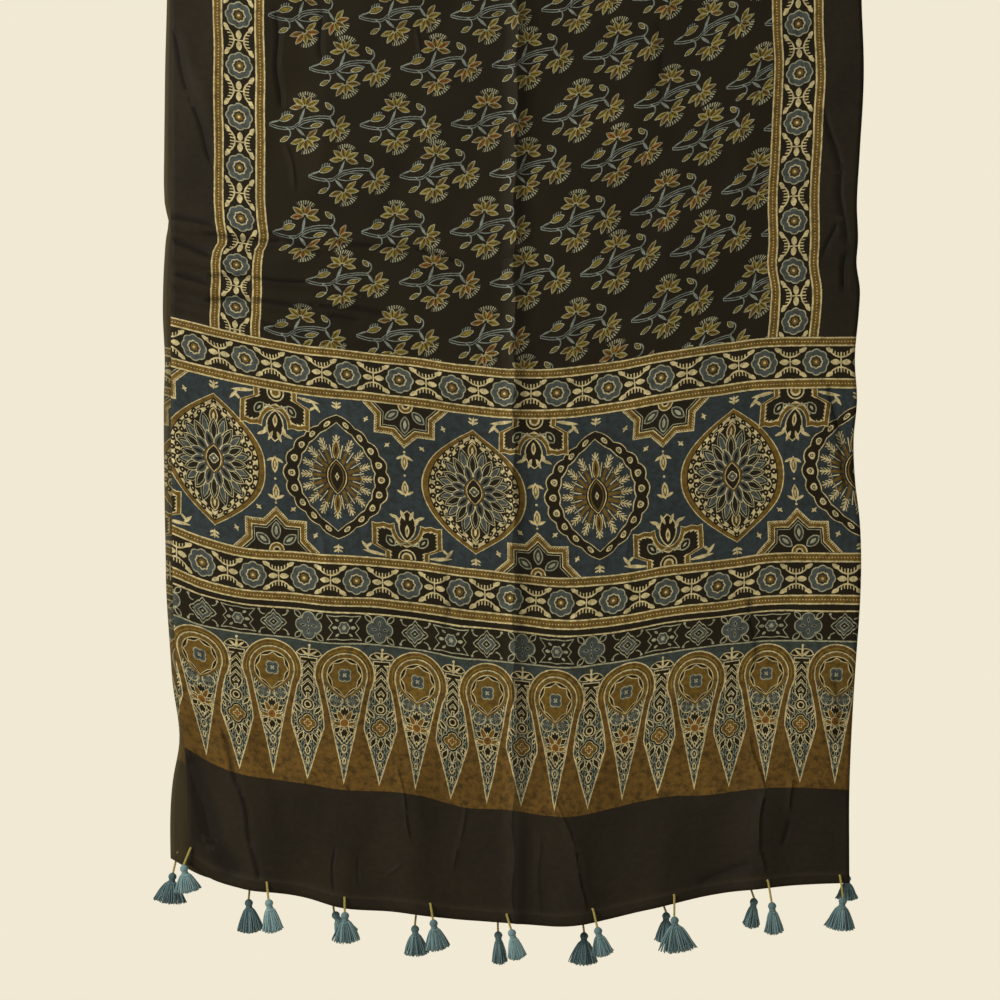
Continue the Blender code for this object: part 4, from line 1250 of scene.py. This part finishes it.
def sprig(place, number):
    """One flowering sprig that grows to the right from its base: -1 round it, else a colour.

    A stem of two lines, three fans of petals with a fringe, a toothed leaf, a bud and two tendrils.
    The number of its cell picks the petals' colours.
    """
    x, y = place.x, place.y
    start = x.least(24.0) - 22.0
    rising = ((x - 31.5) * 0.75).least(3.2 - (x - 48.0) * (x - 48.0) * 0.008)
    line = (start * start * 0.0118 - 5.7).most(rising)
    stem = (1.6 - abs(y - line)).least(x).least(62.0 - x)
    tint = layered(x * 0.0 - 1.0, stem, (0.0, MIST), (0.85, BLACK))
    thin = leaves(place, (32.5, 5.5, 68.0, 17.0, 2.6), (31.0, -10.5, -48.0, 14.0, 2.6),
                  (63.6, -3.0, -62.0, 12.0, 2.6), (6.5, 2.6, 14.0, 13.0, 1.8))
    upper = place.apart(58.9, 9.2).near(6.2, 0.6) * (x > 58.5)
    lower = place.apart(15.2, -11.0).near(6.0, 0.6) * (x > 16.5)
    toothed = leaf(place, 17.0, 9.2, 14.0, 11.0, 5.5) > 0.0
    teeth = (x - y * 0.2).wrap(2.3).near(0.0, 0.5) * toothed
    tint = tint.over((thin > 0.0).most(upper).most(lower).most(teeth), MIST)
    bud = leaf(place, 42.0, -3.8, 5.0, 27.0, 8.0)
    tint = layered(tint, bud, (0.0, MIST), (0.9, BLACK))
    broad = leaves(place, (17.2, 5.2, 14.0, 15.0, 6.8), (47.0, -4.8, 6.0, 13.0, 5.4),
                   (59.4, 13.8, -52.0, 10.0, 5.0), (15.0, -16.2, 24.0, 11.0, 5.2))
    tint = layered(tint, broad, (0.0, SAGE), (0.9, BLACK), (1.5, OLIVE))

    fan = place.moved(35.7, 14.8, 80.0).chosen(y < -1.5, place.moved(35.7, -17.9, -65.0))
    fan = fan.chosen(x > 51.5, place.moved(66.3, -8.7, -50.0))
    away = fan.apart(0.0, 0.0)
    turn = fan.y.angle(fan.x)
    fringe = turn.wrap(0.17).near(0.0, 0.04) * away.near(13.6, 1.9) * turn.near(0.0, 0.66)
    tint = tint.over(fringe, SAGE)
    short = turn.near(0.0, 0.70)
    middle = away + short * 1.6 - 8.2
    beside = abs((turn - 0.35).wrap(0.70)) * away
    petal = 2.9 - middle * middle * (short * 0.03 + 0.058) - beside
    petal = petal.least((2.1 - abs(turn)) * 20.0)
    slot = ((turn / 0.70).floor() + number).wrap(3.0)
    fill = OLIVE + slot.near(0.0, 0.1) * (MUSTARD - OLIVE)
    fill = fill.over(slot.near(1.0, 0.1) * number.wrap(4.0).near(0.0, 0.1), RUST)
    tint = layered(tint, petal, (0.0, SAGE), (0.75, fill))
    vein = (beside < 0.42) * (petal > 1.3) * (away < 10.5)
    return tint.over(vein, BLACK)


def field_print(p):
    """Sprigs in two crossed lattices on black, whose rows rise to the right, from the fold down."""
    level = p.y - p.x * 0.08
    tint = p.x * 0.0
    for left, low in SPRIG_LATTICES:
        across = p.x - left - SPRIG_MIDDLE[0]
        up = level - low - SPRIG_MIDDLE[1]
        column = (across / SPRIG_PITCH[0] + 0.5).floor()
        x = across.wrap(SPRIG_PITCH[0]) + SPRIG_MIDDLE[0]
        y = up.wrap(SPRIG_PITCH[1]) + SPRIG_MIDDLE[1]
        row = (up / SPRIG_PITCH[1] + 0.5).floor()
        number = column + row * 2.0
        tilt = column * 0.030 + 0.12 + (number * 2.4).sine() * 0.03
        drawn = sprig(x.point(y - x * tilt), number)
        shown = drawn > -0.5
        if left < -SPRIG_PITCH[0]:
            shown = shown * (p.x > FIRST_SPRIG)
        tint = tint.over(shown, drawn)
    return tint.over(abs(p.x - 2.5) > 253.5, PLAIN)


def new_material(name, **values):
    """A material, its shader with constant values on its own sockets, and the shader's output."""
    material = bpy.data.materials.new(name)
    material.use_nodes = True
    shader = material.node_tree.nodes["Principled BSDF"]
    for socket, value in values.items():
        shader.inputs[socket.replace("_", " ")].default_value = value
    return material, shader, Value(shader.outputs[0])


def feed(shader, **values):
    """Links what varies over the surface to the shader's sockets."""
    for socket, value in values.items():
        shader.id_data.links.new(value.socket, shader.inputs[socket.replace("_", " ")])


def cloth_material(name, draw, colours):
    """Printed cloth: the band's drawing picks a colour, which fades and dulls and takes painted
    shade at the pressed creases, on a weave.
    """
    material, shader, bare = new_material(
        name, Specular_IOR_Level=0.15, Sheen_Weight=0.05, Sheen_Roughness=0.5,
        Sheen_Tint=(0.75, 0.66, 0.52, 1.0))
    place = bare.node("ShaderNodeUVMap", uv_map="print").scaled(1000.0)
    slow = place.node("ShaderNodeTexNoise", {"Vector": place, "Scale": 0.022, "Detail": 1.0}, 1)
    fine = place.node("ShaderNodeTexNoise", {"Vector": place, "Scale": 0.45, "Detail": 2.0}, 1)
    centred = slow.added((-0.5, -0.5, 0.0)).scaled(2.6)
    ragged = fine.added((-0.5, -0.5, 0.0)).scaled(0.9)
    tint = draw(place.added(centred).added(ragged))
    share = tint * (1.0 / len(colours))
    colour = share.node("ShaderNodeValToRGB", (share,), stops=colours)
    ground = colours[BLACK]
    wear = place.node("ShaderNodeTexNoise", {"Vector": place, "Scale": 0.16, "Detail": 4.0,
                                             "Roughness": 0.7})
    faded = (wear - 0.42) * 2.4
    colour = colour.tinted(faded.most(0.0).least(0.50), ground)
    blot = place.node("ShaderNodeTexNoise", {"Vector": place, "Scale": 0.11, "Detail": 4.0,
                                             "Roughness": 0.65})
    stained = ((blot - 0.52) * 4.0).most(0.0).least(0.45) * tint.near(BROWN, 0.1)
    colour = colour.tinted(stained, ground)
    patch = place.node("ShaderNodeTexNoise", {"Vector": place, "Scale": 0.012, "Detail": 3.0})
    colour = colour.scaled(patch * 0.7 + 0.65)
    worn = place.node("ShaderNodeAttribute", (), 2, attribute_name="worn")
    colour = colour.tinted(worn * 0.22, WORN_COLOUR)
    reverse = place.node("ShaderNodeAttribute", (), 2, attribute_name="reverse")
    colour = colour.tinted(reverse * 0.50, REVERSE_COLOUR)
    turns = 2 * math.pi / YARN_PITCH
    weave = (place.x * turns).sine() * (place.y * turns).sine()
    slub = place.node("ShaderNodeTexNoise", {"Vector": place, "Scale": 2.2, "Detail": 2.0})
    mark = place.node("ShaderNodeAttribute", (), 1, attribute_name="pressed")
    near = (1.0 - mark.x.most(mark.y)).most(0.0)
    pressed = near.power(1.5) * mark.node("ShaderNodeSeparateXYZ", (mark,), 2)
    # Painted shade: the colour darkens towards SHADE_COLOUR in each pressed crease's groove and on
    # the flank beside each ridge.
    dark = (pressed * -0.4).most(pressed * (mark.y > 0.0) * 0.15).least(0.42)
    colour = colour.tinted(dark, SHADE_COLOUR)
    relief = pressed * CREASE_RELIEF + (weave * 0.5 + slub) * WEAVE_RELIEF
    bump = place.node("ShaderNodeBump", {"Height": relief, "Distance": 1.0, "Strength": 1.0})
    feed(shader, Base_Color=colour, Normal=bump, Roughness=slub * 0.16 + 0.60)
    return material


def yarn_material(name, dark, light, roughness):
    """Dull cotton yarn: the thread's own tone and fine streaks along it, with a fibrous bump; a
    tie's two colours are painted shade and painted highlight.
    """
    material, shader, bare = new_material(
        name, Roughness=roughness, Specular_IOR_Level=0.2, Sheen_Weight=0.25, Sheen_Roughness=0.45)
    place = bare.node("ShaderNodeTexCoord", (), "Object")
    long = place.node("ShaderNodeMapping", {0: place, 3: (1.0, 1.0, 0.18)})
    streak = long.node("ShaderNodeTexNoise", {"Vector": long, "Scale": 2600.0, "Detail": 3.0})
    tone = place.node("ShaderNodeAttribute", (), 2, attribute_name="light")
    # For the ties, dark and light are the ply's painted shade and painted highlight, mixed by the
    # streaks.
    share = tone * 0.72 + streak * 0.55 - 0.14
    inputs = {0: share, 6: (*dark, 1.0), 7: (*light, 1.0)}
    colour = share.node("ShaderNodeMix", inputs, 2, data_type="RGBA")
    bump = streak.node("ShaderNodeBump", {"Height": streak, "Distance": 0.0003, "Strength": 0.6})
    feed(shader, Base_Color=colour, Normal=bump)
    return material


def colour_property(name, description, default):
    return bpy.props.FloatVectorProperty(
        name=name, description=description, default=default, subtype="COLOR", min=0.0, max=1.0)


class StolePrintSettings(bpy.types.PropertyGroup):
    """Colours of the print."""

    black: colour_property("Black", "Ground of the print", (0.0168, 0.0122, 0.0052))
    cream: colour_property("Cream", "Outlines and lace", (0.74, 0.63, 0.34))
    mustard: colour_property("Mustard", "Guards, rings and petals", (0.190, 0.112, 0.0185))
    indigo: colour_property("Indigo", "Ground of the medallions", (0.037, 0.053, 0.061))
    grey: colour_property("Grey-blue", "Flowers and arabesques", (0.085, 0.103, 0.100))
    teal: colour_property("Teal", "Ground inside the finials", (0.050, 0.068, 0.063))
    rust: colour_property("Rust", "Some of the field's petals", (0.28, 0.115, 0.016))
    olive: colour_property("Olive", "Leaves of the field", (0.27, 0.200, 0.032))
    sage: colour_property("Sage", "Outlines of small flowers and petals", (0.43, 0.43, 0.29))
    brown: colour_property("Brown", "Ground of the finials", (0.170, 0.093, 0.0180))
    plain: colour_property("Plain", "Margins and the end strip", (0.0245, 0.0187, 0.0116))
    mist: colour_property("Mist", "Stems of the field's sprigs", (0.25, 0.29, 0.26))


class StoleYarnSettings(bpy.types.PropertyGroup):
    """Colours of the tassels and their ties."""

    tassel_dark: colour_property("Tassel, dark", "The darkest threads", (0.013, 0.044, 0.058))
    tassel_light: colour_property("Tassel, light", "The lightest threads", (0.34, 0.54, 0.59))
    tie_painted_shade: colour_property("Tie, dark", "Shaded side of the ply", (0.27, 0.21, 0.040))
    tie_painted_highlight: colour_property("Tie, light", "Lit side of the ply", (0.64, 0.54, 0.17))


# The stage: where the camera stands beside its distance, the floor's disc, and the lamps
CAMERA_ACROSS = -0.010
CAMERA_HEIGHT = -0.590
FLOOR_RADIUS = 1.25
FLOOR_SIDES = 128
LIT_PLACE = (0.0, 0.0, -0.55)
LIGHT_COLOUR = (1.0, 0.96, 0.86)
LAMPS = (
    ("key", (-1.7, -1.15, 0.30), 37.0, 0.9),
    ("fill", (1.2, -2.6, 0.2), 9.0, 1.6),
    ("back", (0.8, 2.4, 0.3), 20.0, 1.6),
)
AIR_LIGHT = 0.20       # the surroundings' strength as a light, and what the camera sees more
AIR_SEEN_MORE = 0.80


class StoleStageSettings(bpy.types.PropertyGroup):
    """Camera, light and floor."""

    camera_away: bpy.props.FloatProperty(
        name="Camera distance", description="From the cloth to the camera", default=2.6,
        unit="LENGTH")
    picture_width: bpy.props.FloatProperty(
        name="Picture width", description="Width of the cloth's plane that the camera sees",
        default=1.005, unit="LENGTH")
    floor_below: bpy.props.FloatProperty(
        name="Floor", description="How far the floor lies below the fold", default=1.35,
        unit="LENGTH")
    floor_colour: colour_property("Floor", "Colour of the floor", (0.80, 0.75, 0.66))
    air_colour: colour_property("Surroundings", "Colour behind the cloth", (0.880, 0.815, 0.655))


class MakeStage(bpy.types.Operator):
    """Camera straight on, a pale floor and soft light from the upper left"""

    bl_idname = "stole.make_stage"
    bl_label = "Make stage"

    def execute(self, context):
        settings = context.scene.stole_stage
        camera = bpy.data.objects.new("camera", bpy.data.cameras.new("camera"))
        context.collection.objects.link(camera)
        camera.location = (CAMERA_ACROSS, -settings.camera_away, CAMERA_HEIGHT)
        camera.rotation_euler = (math.pi / 2, 0.0, 0.0)
        camera.data.lens = camera.data.sensor_width * settings.camera_away / settings.picture_width
        context.scene.camera = camera
        context.scene.view_settings.view_transform = "Standard"

        angle = np.linspace(0.0, 2 * math.pi, FLOOR_SIDES, endpoint=False)
        level = np.full(FLOOR_SIDES, -settings.floor_below)
        rim = np.stack((FLOOR_RADIUS * np.cos(angle), FLOOR_RADIUS * np.sin(angle), level), axis=1)
        mesh = bpy.data.meshes.new("floor")
        mesh.from_pydata(rim.tolist(), [], [list(range(len(rim)))])
        floor = bpy.data.objects.new("floor", mesh)
        context.collection.objects.link(floor)
        material, _, _ = new_material(
            "floor", Base_Color=(*settings.floor_colour, 1.0), Roughness=0.9)
        mesh.materials.append(material)

        world = bpy.data.worlds.new("air")
        context.scene.world = world
        world.use_nodes = True
        air = world.node_tree.nodes["Background"]
        air.inputs["Color"].default_value = (*settings.air_colour, 1.0)
        seen = Value(air.outputs[0]).node("ShaderNodeLightPath", (), "Is Camera Ray")
        feed(air, Strength=seen * AIR_SEEN_MORE + AIR_LIGHT)
        for lamp in LAMPS:
            self.add_light(context, *lamp)
        return {"FINISHED"}

    def add_light(self, context, name, place, power, size):
        """A square soft light that faces the middle of the stole."""
        light = bpy.data.lights.new(name, "AREA")
        light.energy = power
        light.size = size
        light.color = LIGHT_COLOUR
        lamp = bpy.data.objects.new(name, light)
        context.collection.objects.link(lamp)
        lamp.location = place
        ahead = Vector(LIT_PLACE) - lamp.location
        lamp.rotation_euler = ahead.to_track_quat("-Z", "Y").to_euler()


def settle(piece, slot, *nodes):
    """Puts a piece on the root body and hides the nodes that it stands for; its slot is not used."""
    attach(piece, "root")
    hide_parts(*nodes)


class MakeYarns(bpy.types.Operator):
    """Tassels of many threads, each with the twisted yarn that ties it to a hem"""

    bl_idname = "stole.make_yarns"
    bl_label = "Make tassels and ties"

    def execute(self, context):
        settings = context.scene.stole_yarn
        tassel_yarn = yarn_material(
            "tassel yarn", settings.tassel_dark, settings.tassel_light, 0.85)
        tie_yarn = yarn_material("tie yarn", settings.tie_painted_shade, settings.tie_painted_highlight, 0.80)
        points, outward = stitch_places()
        for number in range(len(TASSELS)):
            label = f"{number + 1:02d}"
            tassel = make_tassel(f"tassel_{label}_threads", number, points[number])
            tassel.data.materials.append(tassel_yarn)
            settle(tassel, "tassel_yarn", f"tassel_{label}")
            tie = make_tie(f"tie_{label}_plies", number, points[number], outward[number])
            add_tone(tie, "light", np.full(len(tie.data.vertices), TIE_HIGHLIGHT_SHARE))
            tie.data.materials.append(tie_yarn)
            settle(tie, "tie_yarn", f"tie_{label}")
        return {"FINISHED"}


class MakeCloth(bpy.types.Operator):
    """The whole printed cloth with its folds, wrinkles and turned hems"""

    bl_idname = "stole.make_cloth"
    bl_label = "Make cloth"

    def execute(self, context):
        settings = context.scene.stole_print
        colours = [(*getattr(settings, name), 1.0) for name in (
            "black", "cream", "mustard", "indigo", "grey", "teal", "rust", "olive", "sage",
            "brown", "plain", "mist")]
        sheet = make_sheet("cloth_sheet")
        for name, draw in PRINTS:
            sheet.data.materials.append(cloth_material(f"cloth {name}", draw, colours))
        settle(sheet, "printed_cloth", "cloth")
        return {"FINISHED"}


class StolePanel(bpy.types.Panel):
    """Lists the operators and the settings"""

    bl_idname = "VIEW3D_PT_stole"
    bl_label = "Stole"
    bl_space_type = "VIEW_3D"
    bl_region_type = "UI"
    bl_category = "Stole"

    def draw(self, context):
        for name in STEPS:
            self.layout.operator(name)
        for group_name in GROUPS:
            group = getattr(context.scene, group_name)
            for name in group.bl_rna.properties.keys():
                if name not in ("rna_type", "name"):
                    self.layout.prop(group, name)


PRINTS = (
    ("finials", finial_print),
    ("small band", small_print),
    ("flower border", border_print),
    ("medallions", medallion_print),
    ("field", field_print),
)
GROUPS = {
    "stole_print": StolePrintSettings,
    "stole_yarn": StoleYarnSettings,
    "stole_stage": StoleStageSettings,
}
CLASSES = (*GROUPS.values(), MakeStage, MakeYarns, MakeCloth, StolePanel)
STEPS = ("stole.make_stage", "stole.make_yarns", "stole.make_cloth")


def register():
    for made in CLASSES:
        bpy.utils.register_class(made)
    for name, group in GROUPS.items():
        setattr(bpy.types.Scene, name, bpy.props.PointerProperty(type=group))


def unregister():
    for name in GROUPS:
        delattr(bpy.types.Scene, name)
    for made in reversed(CLASSES):
        bpy.utils.unregister_class(made)


def main():
    """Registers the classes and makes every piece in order."""
    register()
    bpy.ops.stole.make_stage()
    bpy.ops.stole.make_yarns()
    bpy.ops.stole.make_cloth()


if __name__ == "__main__":
    main()
